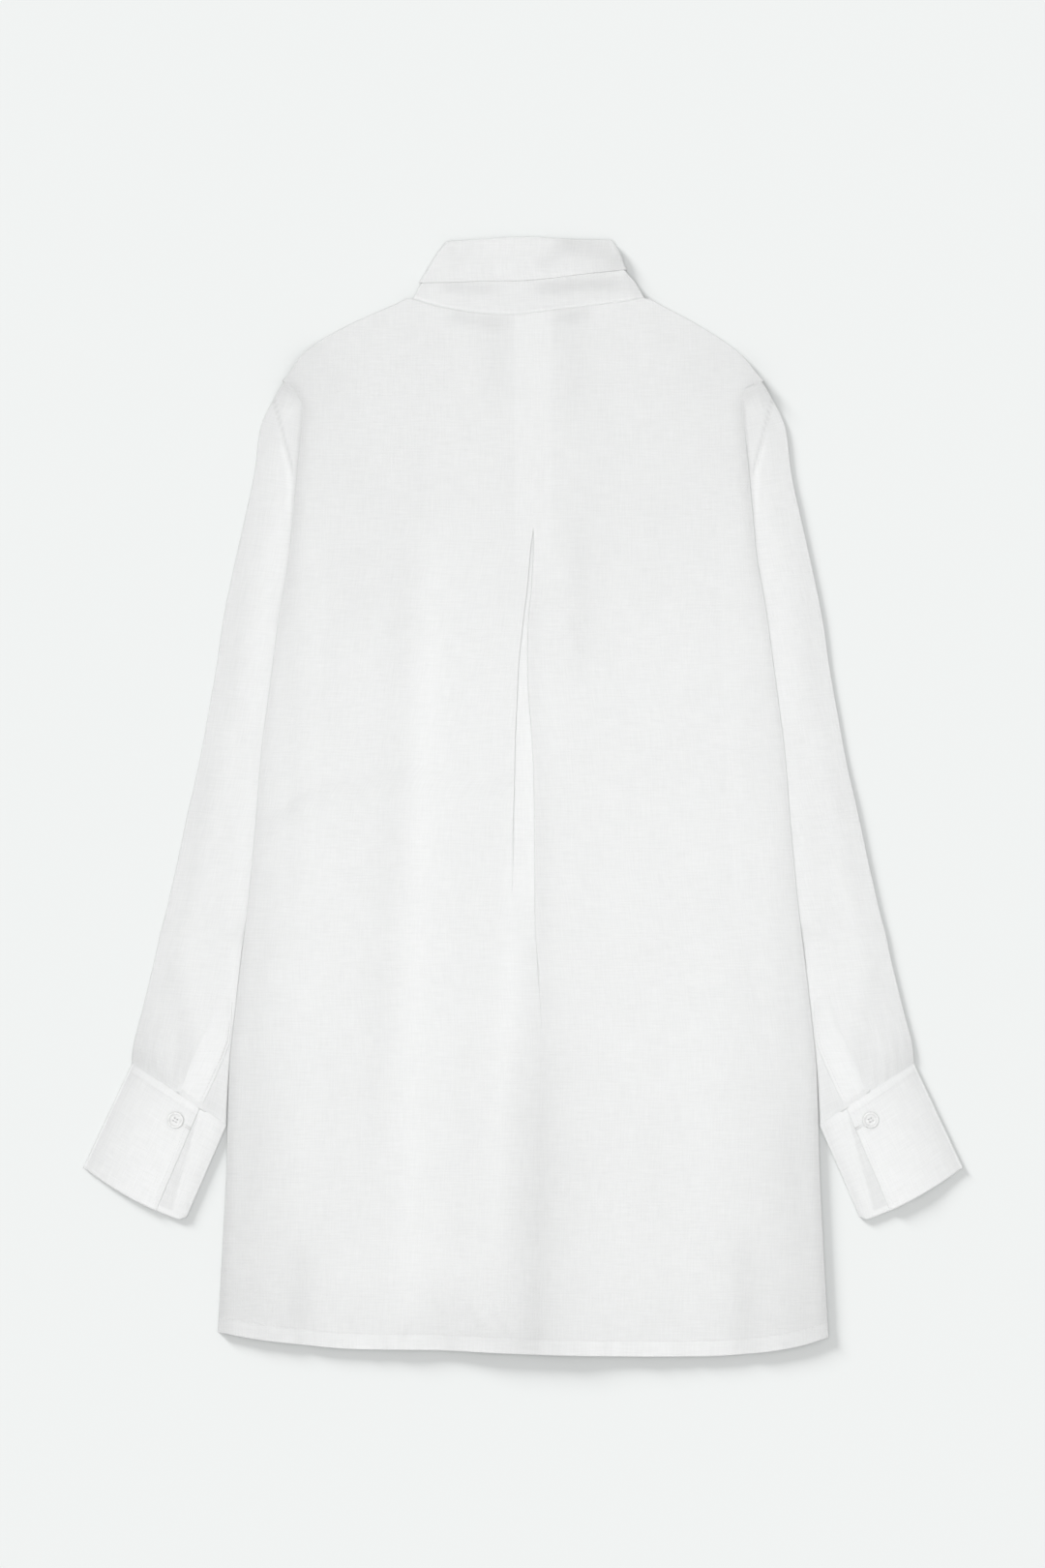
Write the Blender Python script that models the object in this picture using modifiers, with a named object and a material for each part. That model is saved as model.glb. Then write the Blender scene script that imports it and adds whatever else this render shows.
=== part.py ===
# Linen shirt, long-sleeved, laid flat on its front with the back up.
# Built as it is cut and sewn: a back with an inverted box pleat, two fronts, two sleeves with
# plackets, two buttoned cuffs, a collar stand and a collar leaf, and the buttons.
# The sides are tucked in between back and front, and the sleeves lie in that tuck.
# +Y points to the collar, +X to the right as seen from above, +Z up. Tables are in millimetres.

from collections import namedtuple
from math import cos, pi, radians, sin

import bpy
import numpy as np

mm = 0.001

# Cloth and the space between two plies that lie on each other
CLOTH = 1.0
DOUBLED = 1.2
GAP = 0.4
PLY_STEP = CLOTH + GAP
SLEEVE_HOLLOW = 0.6
SLEEVE_STEP = CLOTH + SLEEVE_HOLLOW
DOUBLED_STEP = DOUBLED + GAP

# Heights of the middle of each ply above the table
FRONT_HEIGHT = CLOTH / 2
FRONT_RETURN_HEIGHT = FRONT_HEIGHT + PLY_STEP
BACK_RETURN_HEIGHT = FRONT_RETURN_HEIGHT + PLY_STEP
BACK_SIDE_HEIGHT = BACK_RETURN_HEIGHT + PLY_STEP
BACK_HEIGHT = 4.2
SLEEVE_LIFT = FRONT_RETURN_HEIGHT + CLOTH / 2 + GAP
SLEEVE_TENT = CLOTH + SLEEVE_STEP + GAP

# Buttons, 20 ligne, and the ridge that the closed front makes over them
BUTTON_ACROSS = 12.7
BUTTON_THICK = 2.2
RIGHT_RIDGE = 3.0
LEFT_RIDGE = RIGHT_RIDGE + PLY_STEP
RIDGE_FOOT = 56
OVERLAP = 15
UNDERLAY_HEIGHT = LEFT_RIDGE + PLY_STEP
FRONT_BUTTONS = 7
BUTTON_SPACING = 96
LOWEST_BUTTON = -318
BUTTON_STEPS = 14
SEWN_GAP = 0.3
MERGE = 0.00001
Turning = namedtuple("Turning", "out up")
BUTTON_PROFILE = [
    Turning(0, 0.62), Turning(0.6, 0.62), Turning(0.76, 1), Turning(0.92, 1),
    Turning(1, 0.7), Turning(1, 0.35), Turning(0.8, 0), Turning(0, 0),
]

# Neck
NECK_LEFT, NECK_RIGHT = -88, 96
NECK_CENTRE = (NECK_LEFT + NECK_RIGHT) / 2
NECK_HALF = (NECK_RIGHT - NECK_LEFT) / 2
NECK_POINT_Y = 386
FRONT_NECK_DROP = 75
STAND_TALL = 34
RING_HEIGHT = 3.0
LEAF_POINT_Y = 296
LEAF_LEAN = 42
SIDE_ROOM = 1.35
RING_INSET = 2.2
FRONT_NECK_GAP = 0.6
SEAM_CLEARANCE = GAP + 0.1
ROLL_OVER_STAND = 5.5
ROLL_FORWARD = 8
LEAF_END_GAP = 1.2
STAND_BACK_HEIGHT = RING_HEIGHT + DOUBLED_STEP / 2

# Where a ply rises or falls, as a start and an end. Across the body these are distances from the
# tuck line, the sleeve's inner edge, the pleat or the neck point, and up the body they are places.
SIDE_RISE = (25, 0)
FOLDS_FADE = (0, 20)
TENT_TOP = 9
TENT_FOOT_BACK = 32
TENT_FOOT_RETURN = 18
TENT_END = (-140, -100)
PLEAT_CENTRE = 5
PLEAT_RISE = (74, 24)
BAND_CENTRE = 8
BAND_RISE = (42, 17)
NECK_POINT_FALL = (0, 14)
SHOULDER_RISE = (62, 86)
NECK_SEAM_STARTS = 0.976
SHOULDER_SEAM_STARTS = 0.945
BUTTON_ROOM = 3
LEAF_ROOM = 1.7
LEAF_ROOM_UP = (268, 292)
LEAF_ROOM_ACROSS = (102, 82)
SLEEVE_FLOOR_FOOT = (22, 8)
SLEEVE_FLOOR_END = (-118, -92)
CUFF_FLAP_RISE = (0.24, 0.43)

# Back: the body's folded side edge, the tuck line inside it (the side seam), down the left side
Side = namedtuple("Side", "y edge tuck")
SIDES = [
    Side(-420, 236.5, 232), Side(-369, 233.6, 226), Side(-290, 229.6, 213),
    Side(-210, 227, 195), Side(-152, 221, 181), Side(-85, 213, 165.5),
    Side(-20, 206.8, 160), Side(34, 202.5, 157), Side(92, 195, 154.5),
    Side(144, 188, 152.5), Side(184, 181, 151), Side(205, 179, 150),
    Side(249, 175, 158), Side(274, 172.6, 163), Side(300, 170.6, 166.5),
    Side(309, 174, 170), Side(316, 179, 174), Side(322, 186.5, 180),
]
SIDE_SEARCH = (140, 240)
SIDE_SEARCH_STEPS = 30

# Shoulder seam and back neck seam from left to right, then the hem
Line = namedtuple("Line", "x y")
BACK_TOP = [
    Line(-200, 312), Line(-184, 324), Line(-170, 343), Line(-141, 362), Line(-99, 381),
    Line(-88, 385.5), Line(-77, 382), Line(-55, 377), Line(-34, 374.2), Line(-6, 373),
    Line(19.5, 376), Line(52.5, 380), Line(81, 383.5), Line(96, 385.5), Line(106, 381),
    Line(141, 362), Line(168, 343), Line(184, 324), Line(200, 312),
]
HEM = [
    Line(-237, -415), Line(-204, -421), Line(-169, -425), Line(-135, -428), Line(-66, -429),
    Line(-14, -431.5), Line(45, -433.4), Line(140, -433.7), Line(183, -431),
    Line(214, -426), Line(237, -419),
]

# Inverted box pleat: its two fold edges, how deep each return is and how far it turns over
Pleat = namedtuple("Pleat", "y left right depth turn")
PLEAT = [
    Pleat(-434, -8, 14, 3.0, 14), Pleat(-350, -3, 19, 3.4, 20), Pleat(-235, 1, 21, 3.2, 24),
    Pleat(-175, 2, 20, 2.2, 34), Pleat(-142, -2, 16, 1.2, 62), Pleat(-122, -6, 12, 0.8, 104),
    Pleat(-106, -8, 9.5, 0.8, 146), Pleat(-92, -9, 8.6, 1.4, 174), Pleat(-78, -9, 8.2, 2.8, 180),
    Pleat(-58, -9, 8, 5.4, 180), Pleat(5, -8, 8.6, 6.3, 180), Pleat(50, -6.4, 7.2, 7.5, 180),
    Pleat(92, -4, 3.6, 10.4, 180), Pleat(124, -1.8, 3.4, 11.6, 180),
    Pleat(160, 2.6, 6.8, 12.2, 180),
    Pleat(190, 5.6, 8.2, 13.2, 180), Pleat(208, 7.2, 8.7, 14, 180), Pleat(380, 7.3, 8.7, 14, 180),
]
PLEAT_RADIUS = PLY_STEP / 2

# Soft folds along the back: where each runs, its height and its half width
Fold = namedtuple("Fold", "name top_x top_y foot_x foot_y bow height width")
FOLDS = [
    Fold("ridge_left", -62, 190, -90, -420, 4, 1.3, 15),
    Fold("trough_left", -85, 215, -117, -230, -4, -0.9, 14),
    Fold("streak_left", -42, 85, -44, -135, 0, -0.6, 8),
    Fold("ridge_low", -22, -165, -23, -310, 0, 0.6, 9),
    Fold("streak_right", 43, 200, 44, 90, 0, -0.6, 9),
    Fold("ridge_right", 74, 110, 96, -400, 3, 0.9, 20),
    Fold("notch_left", -172, -375, -173, -440, 0, -0.8, 7),
    Fold("notch_right", 172, -375, 173, -440, 0, -0.8, 7),
]

# Sleeve, left: rows from the shoulder to the cuff seam, from its outer fold to its inner edge
SleeveRow = namedtuple("SleeveRow", "outer_x outer_y inner_x inner_y")
SLEEVE = [
    SleeveRow(184, 322, 177, 319), SleeveRow(192, 309, 171, 301), SleeveRow(203, 286, 165, 275),
    SleeveRow(208, 249, 157, 240), SleeveRow(216, 212, 150.5, 205), SleeveRow(224.5, 174, 158, 168),
    SleeveRow(232, 137, 166, 131), SleeveRow(237.5, 99, 174, 94), SleeveRow(244, 62, 182, 58),
    SleeveRow(251, 24, 190, 20), SleeveRow(259.5, -13, 198, -17), SleeveRow(267.5, -51, 206.5, -53),
    SleeveRow(276, -88, 214, -89), SleeveRow(281, -107, 217.6, -110), SleeveRow(285, -126, 221, -130),
    SleeveRow(294, -163, 227, -170),
    SleeveRow(301.5, -192, 229.4, -212), SleeveRow(302.5, -206.5, 230, -253.5),
]
SLEEVE_BY_HEIGHT = SLEEVE[::-1]
ARMPIT_ROW = 4

# Sleeve placket, left: its edge beside the slit and its width, from the top down
PlacketRow = namedtuple("PlacketRow", "x y width")
PLACKET = [
    PlacketRow(223, -126, 19), PlacketRow(228.5, -160, 21), PlacketRow(231, -196, 22),
    PlacketRow(240, -224, 22), PlacketRow(249, -240.5, 20),
]

# Cuff, left: its corners on the table, from the outer fold to the inner one
CUFF_OUTER_TOP = (302.6, -207.2)
CUFF_INNER_TOP = (229.8, -254.3)
CUFF_INNER_FOOT = (262.5, -329.5)
CUFF_OUTER_FOOT = (340.5, -288)
CUFF_BULGE = 4
CUFF_WIDE = 87
SEAM_SLOPE = (CUFF_OUTER_TOP[1] - CUFF_INNER_TOP[1]) / (CUFF_OUTER_TOP[0] - CUFF_INNER_TOP[0])
CUFF_FLAP = 0.72
CUFF_UNDERLAP = 0.47
CUFF_BUTTON = (0.56, 0.21)

# Collar: the side edges of its folded ring, its roll line and the lower edge of the leaf behind
CollarSide = namedtuple("CollarSide", "y left right")
COLLAR_SIDES = [
    CollarSide(385, -87, 96), CollarSide(398, -80, 88.5), CollarSide(408, -74, 80),
    CollarSide(421, -66, 75), CollarSide(427, -61, 71.5), CollarSide(434, -55, 66),
]
COLLAR_ROLL = [
    Line(-87, 430), Line(-41, 432), Line(-19, 433.2), Line(15, 433), Line(39, 432), Line(96, 431),
]
LEAF_EDGE = [
    Line(-87, 397.5), Line(-55, 398), Line(-34, 399), Line(-5, 399), Line(24, 401),
    Line(52.5, 404), Line(96, 407.5),
]

# Columns across the back and each front, and rows up the body as shares of its length
BACK_COLUMNS = (166, 140, 114, 92, 74, 56, 40, 24)
FRONT_COLUMNS = (164, 134, 110, 92, 72, 48, 32, 18)
BACK_ROWS = (
    0, 0.034, 0.1, 0.176, 0.25, 0.32, 0.362, 0.3875, 0.405, 0.4225, 0.4375, 0.4625, 0.505,
    0.552, 0.602, 0.65, 0.69, 0.733, 0.77, 0.795, 0.825, 0.87, 0.915, 0.95, 0.976, 1,
)
FRONT_ROWS = (0, 0.05, 0.16, 0.3, 0.44, 0.58, 0.7, 0.79, 0.86, 0.91, 0.95, 0.98, 1)
UPPER_SLEEVE_SHARES = (0, 0.12, 0.3, 0.5, 0.72, 0.9, 1)
UNDER_SLEEVE_SHARES = (1, 0.9, 0.72, 0.5, 0.3, 0.12)
OPEN_SLEEVE_SHARES = (0.09, 0.06, 0.03, 0.015, 0)
CUFF_OVER_SHARES = (CUFF_UNDERLAP, 0.62, 0.8, 0.93)
CUFF_UNDER_SHARES = (0.8, 0.6, 0.4, 0.2)
CUFF_FLAP_SHARES = (0.1, 0.22, 0.3, 0.37, 0.44, 0.56, 0.64, CUFF_FLAP)
CUFF_ROWS = (0.004, 0.25, 0.5, 0.75, 0.96, 1)
STAND_ROWS = (0, 0.25, 0.6, 1)
ARC_STEPS = 4

LINEN = (0.88, 0.885, 0.885, 1)
SHELL_WHITE = (0.8, 0.8, 0.79, 1)


# Shape tools

def ease(value, start, end):
    # 0 at start, 1 at end, smooth between, and start may lie above end.
    share = min(1.0, max(0.0, (value - start) / (end - start)))
    return share * share * (3 - 2 * share)


def read(table, across, column, value):
    # Smooth value of one column of a table, read at a value of another column.
    xs = [getattr(row, across) for row in table]
    ys = [getattr(row, column) for row in table]
    value = min(max(value, xs[0]), xs[-1])
    at = min(max(int(np.searchsorted(xs, value)), 1), len(xs) - 1)
    slopes = []
    for i in (at - 1, at):
        low, high = max(i - 1, 0), min(i + 1, len(xs) - 1)
        slopes.append((ys[high] - ys[low]) / (xs[high] - xs[low]))
    span = xs[at] - xs[at - 1]
    share = (value - xs[at - 1]) / span
    rest = 1 - share
    return (
        ys[at - 1] * rest * rest * (1 + 2 * share)
        + ys[at] * share * share * (3 - 2 * share)
        + slopes[0] * span * share * rest * rest
        - slopes[1] * span * rest * share * share
    )


def half_turn(x, low, high, outward):
    # Points of a fold between two plies, from the low one to the high one, bulging to outward.
    middle, radius = (low + high) / 2, (high - low) / 2
    angles = [pi * step / ARC_STEPS for step in range(ARC_STEPS + 1)]
    return [(x + outward * (sin(angle) - 1) * radius, middle - cos(angle) * radius) for angle in angles]


def side_of(y, column):
    return read(SIDES, "y", column, y)


def sleeve_inner(y):
    return read(SLEEVE_BY_HEIGHT, "inner_y", "inner_x", y)


# Heights of the plies

def front_top_line(x):
    # Shoulder seam, and the front neck seam where it dips between the neck points.
    share = (x - NECK_CENTRE) / NECK_HALF
    if abs(share) >= 1:
        return read(BACK_TOP, "x", "y", x)
    return NECK_POINT_Y - FRONT_NECK_DROP * (1 - share * share)


def body_point(x, up, top_line):
    # Height on the table of a point at x, up being its share of the way from the hem to the top seam.
    hem = read(HEM, "x", "y", x)
    return hem + (top_line(x) - hem) * up


def back_top_line(x):
    return read(BACK_TOP, "x", "y", x)


def sleeve_tent(x, y, foot):
    # How far the plies above the sleeve are lifted by it, at a foot this wide.
    inside = sleeve_inner(y) - abs(x)
    return SLEEVE_TENT * ease(inside, foot, TENT_TOP) * ease(y, *TENT_END)


def front_height(x, y, side):
    ridge = (RIGHT_RIDGE if side > 0 else LEFT_RIDGE) - FRONT_HEIGHT
    over_buttons = ridge * ease(abs(x), RIDGE_FOOT, OVERLAP + BUTTON_ROOM)
    over_leaf = LEAF_ROOM * ease(y, *LEAF_ROOM_UP) * ease(abs(x), *LEAF_ROOM_ACROSS)
    return FRONT_HEIGHT + max(over_buttons, over_leaf)


def pleat_drop(y):
    turn = radians(read(PLEAT, "y", "turn", y))
    return 2 * PLEAT_RADIUS * (1 - cos(turn)) + read(PLEAT, "y", "depth", y) * sin(turn)


def fold_height(x, y):
    total = 0
    for fold in FOLDS:
        share = (y - fold.foot_y) / (fold.top_y - fold.foot_y)
        centre = fold.foot_x + (fold.top_x - fold.foot_x) * share + fold.bow * sin(pi * share)
        along = ease(share, 0.0, 0.25) if fold.foot_y > -400 else 1
        along *= ease(share, 1.0, 0.75)
        total += fold.height * along * np.exp(-(((x - centre) / fold.width) ** 2))
    return total


def back_height(x, y, up):
    inside = side_of(y, "tuck") - abs(x)
    height = BACK_HEIGHT + (BACK_SIDE_HEIGHT - BACK_HEIGHT) * ease(inside, *SIDE_RISE)
    height += sleeve_tent(x, y, TENT_FOOT_BACK) + fold_height(x, y) * ease(inside, *FOLDS_FADE)
    centre = UNDERLAY_HEIGHT + pleat_drop(y)
    height += (centre - height) * ease(abs(x - PLEAT_CENTRE), *PLEAT_RISE)
    seam = STAND_BACK_HEIGHT + 2 * PLY_STEP * ease(abs(x - BAND_CENTRE), *BAND_RISE)
    if x < NECK_LEFT or x > NECK_RIGHT:
        past_neck = abs(x - NECK_CENTRE) - NECK_HALF
        seam += (FRONT_HEIGHT + PLY_STEP - seam) * ease(past_neck, *NECK_POINT_FALL)
        seam += (BACK_SIDE_HEIGHT + SLEEVE_TENT - seam) * ease(past_neck, *SHOULDER_RISE)
    in_neck = abs(x - NECK_CENTRE) < NECK_HALF
    starts = NECK_SEAM_STARTS if in_neck else SHOULDER_SEAM_STARTS
    return height + (seam - height) * ease(up, starts, 1)


# Sections across the body

def spread(x, edge):
    # Column x of the narrow top moved out with the side edge lower down.
    return x + (edge - 179) * max(0.0, (x - 30) / 149)


def edge_place(up, side, top_line):
    # How far out a row of the body meets its folded side edge, and where up the body that is.
    low, high = SIDE_SEARCH
    for _ in range(SIDE_SEARCH_STEPS):
        x = (low + high) / 2
        y = body_point(side * x, up, top_line)
        if x < side_of(y, "edge"):
            low = x
        else:
            high = x
    return x, y


def side_return(up, side, top_line, return_height):
    # The ply that is tucked in at one side, from the side seam out to the fold.
    edge, y = edge_place(up, side, top_line)
    tuck = side_of(y, "tuck")
    across = [tuck + (edge - 1.5 - tuck) * share for share in (0, 0.4, 0.75, 1)]
    return edge, [(side * x, return_height(side * x, body_point(side * x, up, top_line))) for x in across]


def back_side(up, side):
    # One side of the back from its side seam, round the fold and in to the last column before the pleat.
    edge, returned = side_return(
        up, side, back_top_line,
        lambda x, y: BACK_RETURN_HEIGHT + sleeve_tent(x, y, TENT_FOOT_RETURN),
    )
    y = body_point(side * edge, up, back_top_line)
    fold = half_turn(side * edge, returned[-1][1], back_height(side * edge, y, up), side)
    points = returned[:-1] + fold
    for column in BACK_COLUMNS:
        x = side * spread(column, edge)
        points.append((x, back_height(x, body_point(x, up, back_top_line), up)))
    return points


def pleat_side(up, side):
    # From the top ply over one fold edge, back under it and on to the underlay, turning as far as
    # the table says.
    y = body_point(PLEAT_CENTRE, up, back_top_line)
    edge = read(PLEAT, "y", "right" if side > 0 else "left", y)
    depth = max(0.3, read(PLEAT, "y", "depth", y))
    turn = radians(min(180, read(PLEAT, "y", "turn", y)))
    reach = PLEAT_RADIUS * sin(min(turn, pi / 2))
    x, z = edge + side * reach, back_height(edge, y, up)
    points = [(x, z)]
    for bend, straight in ((1, depth), (-1, 0)):
        for step in range(ARC_STEPS):
            a, b = turn * step / ARC_STEPS, turn * (step + 1) / ARC_STEPS
            if bend < 0:
                a, b = turn - a, turn - b
            x -= side * abs(sin(b) - sin(a)) * PLEAT_RADIUS * (1 if cos((a + b) / 2) > 0 else -1)
            z -= abs(cos(b) - cos(a)) * PLEAT_RADIUS
            points.append((x, z))
        x -= side * cos(turn) * straight
        z -= sin(turn) * straight
        if straight:
            points.append((x, z))
    return points


def back_row(up):
    left = back_side(up, -1) + pleat_side(up, -1)
    right = back_side(up, 1) + pleat_side(up, 1)
    across = left + right[::-1]
    return [(x, body_point(x, up, back_top_line), z) for x, z in across]


def front_row(up, side):
    edge, returned = side_return(up, side, front_top_line, lambda x, y: FRONT_RETURN_HEIGHT)
    fold = half_turn(side * edge, FRONT_HEIGHT, FRONT_RETURN_HEIGHT, side)
    across = returned[:-1] + fold[::-1]
    columns = [side * spread(column, edge) for column in FRONT_COLUMNS] + [0, -side * OVERLAP]
    for x in columns:
        height = front_height(x, body_point(x, up, front_top_line), side)
        across.append((x, height))
    return [(x, body_point(x, up, front_top_line), z) for x, z in across]


# Building solids

def cloth_material(name, colour, roughness):
    material = bpy.data.materials.new(name)
    material.use_nodes = True
    shader = material.node_tree.nodes["Principled BSDF"]
    shader.inputs["Base Color"].default_value = colour
    shader.inputs["Roughness"].default_value = roughness
    shader.inputs["Metallic"].default_value = 0
    return material


def place(name, mesh, collection, material):
    piece = bpy.data.objects.new(name, mesh)
    piece.data.materials.append(material)
    collection.objects.link(piece)
    return piece


def sewn_sheet(name, rows, thickness, collection, colour, closed_from=None):
    # A wall of even thickness on the rows of points, which are the middle of the ply.
    # From row closed_from on, the last column is the first one again, as round a tube.
    count = len(rows[0])
    corners, index = [], []
    for number, row in enumerate(rows):
        ring = closed_from is not None and number >= closed_from
        start = len(corners)
        kept = row[:-1] if ring else row
        corners += [(x * mm, y * mm, z * mm) for x, y, z in kept]
        index.append([start + i for i in range(len(kept))] + ([start] if ring else []))
    faces = []
    for low, high in zip(index, index[1:]):
        for i in range(count - 1):
            faces.append((low[i], low[i + 1], high[i + 1], high[i]))
    mesh = bpy.data.meshes.new(name)
    mesh.from_pydata(corners, [], faces)
    piece = place(name, mesh, collection, cloth_material(name, colour, 0.85))
    wall = piece.modifiers.new("Wall", "SOLIDIFY")
    wall.thickness = thickness * mm
    wall.offset = 0
    return piece


def make_back(collection):
    sewn_sheet("back", [back_row(up) for up in BACK_ROWS], CLOTH, collection, LINEN)


def make_front(collection, side):
    name = "front_right" if side > 0 else "front_left"
    sewn_sheet(name, [front_row(up, side) for up in FRONT_ROWS], CLOTH, collection, LINEN)


# Sleeve, placket and cuff: made for the left, and side turns them over

def sleeve_floor(x, y):
    # How far the sleeve's under ply is lifted where it lies on the tucked front.
    past_edge = abs(x) - side_of(y, "edge")
    return SLEEVE_LIFT * ease(past_edge, *SLEEVE_FLOOR_FOOT) * ease(y, *SLEEVE_FLOOR_END)


def sleeve_height(x, y, upper):
    return sleeve_floor(x, y) + CLOTH / 2 + (SLEEVE_STEP if upper else 0)


def sleeve_ring(row, side, open_end):
    radius = SLEEVE_STEP / 2
    outer, inner = np.array(row[:2]), np.array(row[2:])
    along = (outer - inner) / np.linalg.norm(outer - inner)
    first, last = inner + along * radius, outer - along * radius

    def flat_run(shares, upper):
        run = []
        for share in shares:
            x, y = first + (last - first) * share
            run.append((x, y, sleeve_height(x, y, upper)))
        return run

    def fold(centre, way):
        base = sleeve_floor(*centre) + CLOTH / 2 + radius
        points = []
        for step in range(1, ARC_STEPS):
            angle = pi * step / ARC_STEPS
            x, y = centre + along * way * sin(angle) * radius
            points.append((x, y, base + way * cos(angle) * radius))
        return points

    upper = flat_run(UPPER_SLEEVE_SHARES, True)
    under = flat_run(UNDER_SLEEVE_SHARES, False)
    if open_end:
        end = flat_run(OPEN_SLEEVE_SHARES, False)
    else:
        end = flat_run((0,), False) + fold(first, -1) + [upper[0]]
    ring = upper + fold(last, 1) + under + end
    return [(side * x, y, z) for x, y, z in ring]


def make_sleeve(collection, side):
    name = "sleeve_right" if side > 0 else "sleeve_left"
    rows = [sleeve_ring(row, side, number < ARMPIT_ROW) for number, row in enumerate(SLEEVE)]
    sewn_sheet(name, rows, CLOTH, collection, LINEN, closed_from=ARMPIT_ROW)


def make_placket(collection, side):
    name = "placket_right" if side > 0 else "placket_left"
    rows = []
    for row in PLACKET:
        points = []
        for share in (0, 0.33, 0.67, 1):
            x, y = row.x + row.width * share, row.y + SEAM_SLOPE * row.width * share
            points.append((side * x, y, sleeve_height(x, y, True) + PLY_STEP))
        rows.append(points)
    sewn_sheet(name, rows, CLOTH, collection, LINEN)


def cuff_point(across, down, z, side):
    top = [a + (b - a) * across for a, b in zip(CUFF_OUTER_TOP, CUFF_INNER_TOP)]
    foot = [a + (b - a) * across for a, b in zip(CUFF_OUTER_FOOT, CUFF_INNER_FOOT)]
    x = top[0] + (foot[0] - top[0]) * down
    y = top[1] + (foot[1] - top[1]) * down - CUFF_BULGE * 4 * across * (1 - across) * down
    return side * x, y, z


def cuff_row(down, side):
    # From the underlap's end, round the inner fold, under, round the outer fold and over to the
    # flap's edge.
    radius = DOUBLED_STEP / 2
    under, over = DOUBLED / 2, DOUBLED / 2 + DOUBLED_STEP
    end = radius / CUFF_WIDE
    angles = [pi * step / ARC_STEPS for step in range(ARC_STEPS + 1)]
    section = [(share, over) for share in CUFF_OVER_SHARES]
    section += [(1 - end + end * sin(a), under + radius + radius * cos(a)) for a in angles]
    section += [(share, under) for share in CUFF_UNDER_SHARES]
    section += [(end - end * sin(a), under + radius - radius * cos(a)) for a in angles]
    for share in CUFF_FLAP_SHARES:
        section.append((share, over + DOUBLED_STEP * ease(share, *CUFF_FLAP_RISE)))
    return [cuff_point(across, down, z, side) for across, z in section]


def make_cuff(collection, side):
    name = "cuff_right" if side > 0 else "cuff_left"
    rows = [cuff_row(down, side) for down in CUFF_ROWS]
    sewn_sheet(name, rows, DOUBLED, collection, LINEN)


# Collar: a flattened ring round the neck, its front half under its back half

RingColumn = namedtuple("RingColumn", "across front out_x out_z shift")


def ring_columns(*front_ends):
    # From the left front end, round the left side, along the back, round the right side to the
    # right front end.
    front_shares = (0.12, 0.28, 0.45, 0.62, 0.8, *front_ends)
    columns = []
    for share in front_shares[::-1]:
        columns.append(RingColumn(-1 + share, True, 0, -1, 0))
    for step in range(ARC_STEPS + 1):
        angle = pi * (1.5 - step / ARC_STEPS)
        columns.append(RingColumn(-1, step < ARC_STEPS / 2, cos(angle), sin(angle), 1))
    for share in (-0.9, -0.72, -0.5, -0.25, 0, 0.25, 0.5, 0.72, 0.9):
        columns.append(RingColumn(share, False, 0, 1, 0))
    for step in range(ARC_STEPS + 1):
        angle = pi * (0.5 - step / ARC_STEPS)
        columns.append(RingColumn(1, step > ARC_STEPS / 2, cos(angle), sin(angle), -1))
    for share in front_shares:
        columns.append(RingColumn(1 - share, True, 0, -1, 0))
    return columns


def neck_seam(column):
    x = NECK_CENTRE + column.across * (NECK_HALF - 1)
    line = front_top_line(x) + FRONT_NECK_GAP if column.front else back_top_line(x)
    return line + SEAM_CLEARANCE


def ring_point(column, y, outward, lean=0.0):
    radius = DOUBLED_STEP / 2
    left = read(COLLAR_SIDES, "y", "left", y) + RING_INSET
    right = read(COLLAR_SIDES, "y", "right", y) - RING_INSET
    x = (left + right) / 2 + column.across * (right - left) / 2
    x += column.shift * radius + column.out_x * (radius + SIDE_ROOM * outward) + lean
    z = RING_HEIGHT + column.out_z * (radius + outward)
    return x, y, z


def stand_lift(column, number, count):
    # The two ends overlap at the front, the right one outside, over its button.
    if not column.front or abs(column.across) > 0.5:
        return 0
    own_end = RIGHT_RIDGE if number > count / 2 else LEFT_RIDGE
    return (own_end - RING_HEIGHT + DOUBLED_STEP / 2) * ease(abs(column.across), 0.5, 0.2)


def make_stand(collection):
    columns = ring_columns(0.94, 1.13)
    rows = []
    for share in STAND_ROWS:
        row = []
        for number, column in enumerate(columns):
            y = neck_seam(column) + STAND_TALL * share
            x, y, z = ring_point(column, y, 0)
            row.append((x, y, z + stand_lift(column, number, len(columns))))
        rows.append(row)
    sewn_sheet("collar_stand", rows, DOUBLED, collection, LINEN)


def leaf_line(column):
    # Roll line and lower edge of the leaf at a column of the ring, and how far its edge leans outward.
    x = NECK_CENTRE + column.across * NECK_HALF
    behind_roll = read(COLLAR_ROLL, "x", "y", x)
    behind_edge = read(LEAF_EDGE, "x", "y", x)
    if not column.front:
        return behind_roll, behind_edge, 0
    forward = 1 - abs(column.across)
    roll = neck_seam(column) + STAND_TALL + ROLL_OVER_STAND + ROLL_FORWARD * forward
    edge = behind_edge + (LEAF_POINT_Y - behind_edge) * ease(forward, 0, 0.8)
    lean = LEAF_LEAN * ease(forward, 0.3, 1) * (-1 if column.across < 0 else 1)
    return roll, edge, lean


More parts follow.
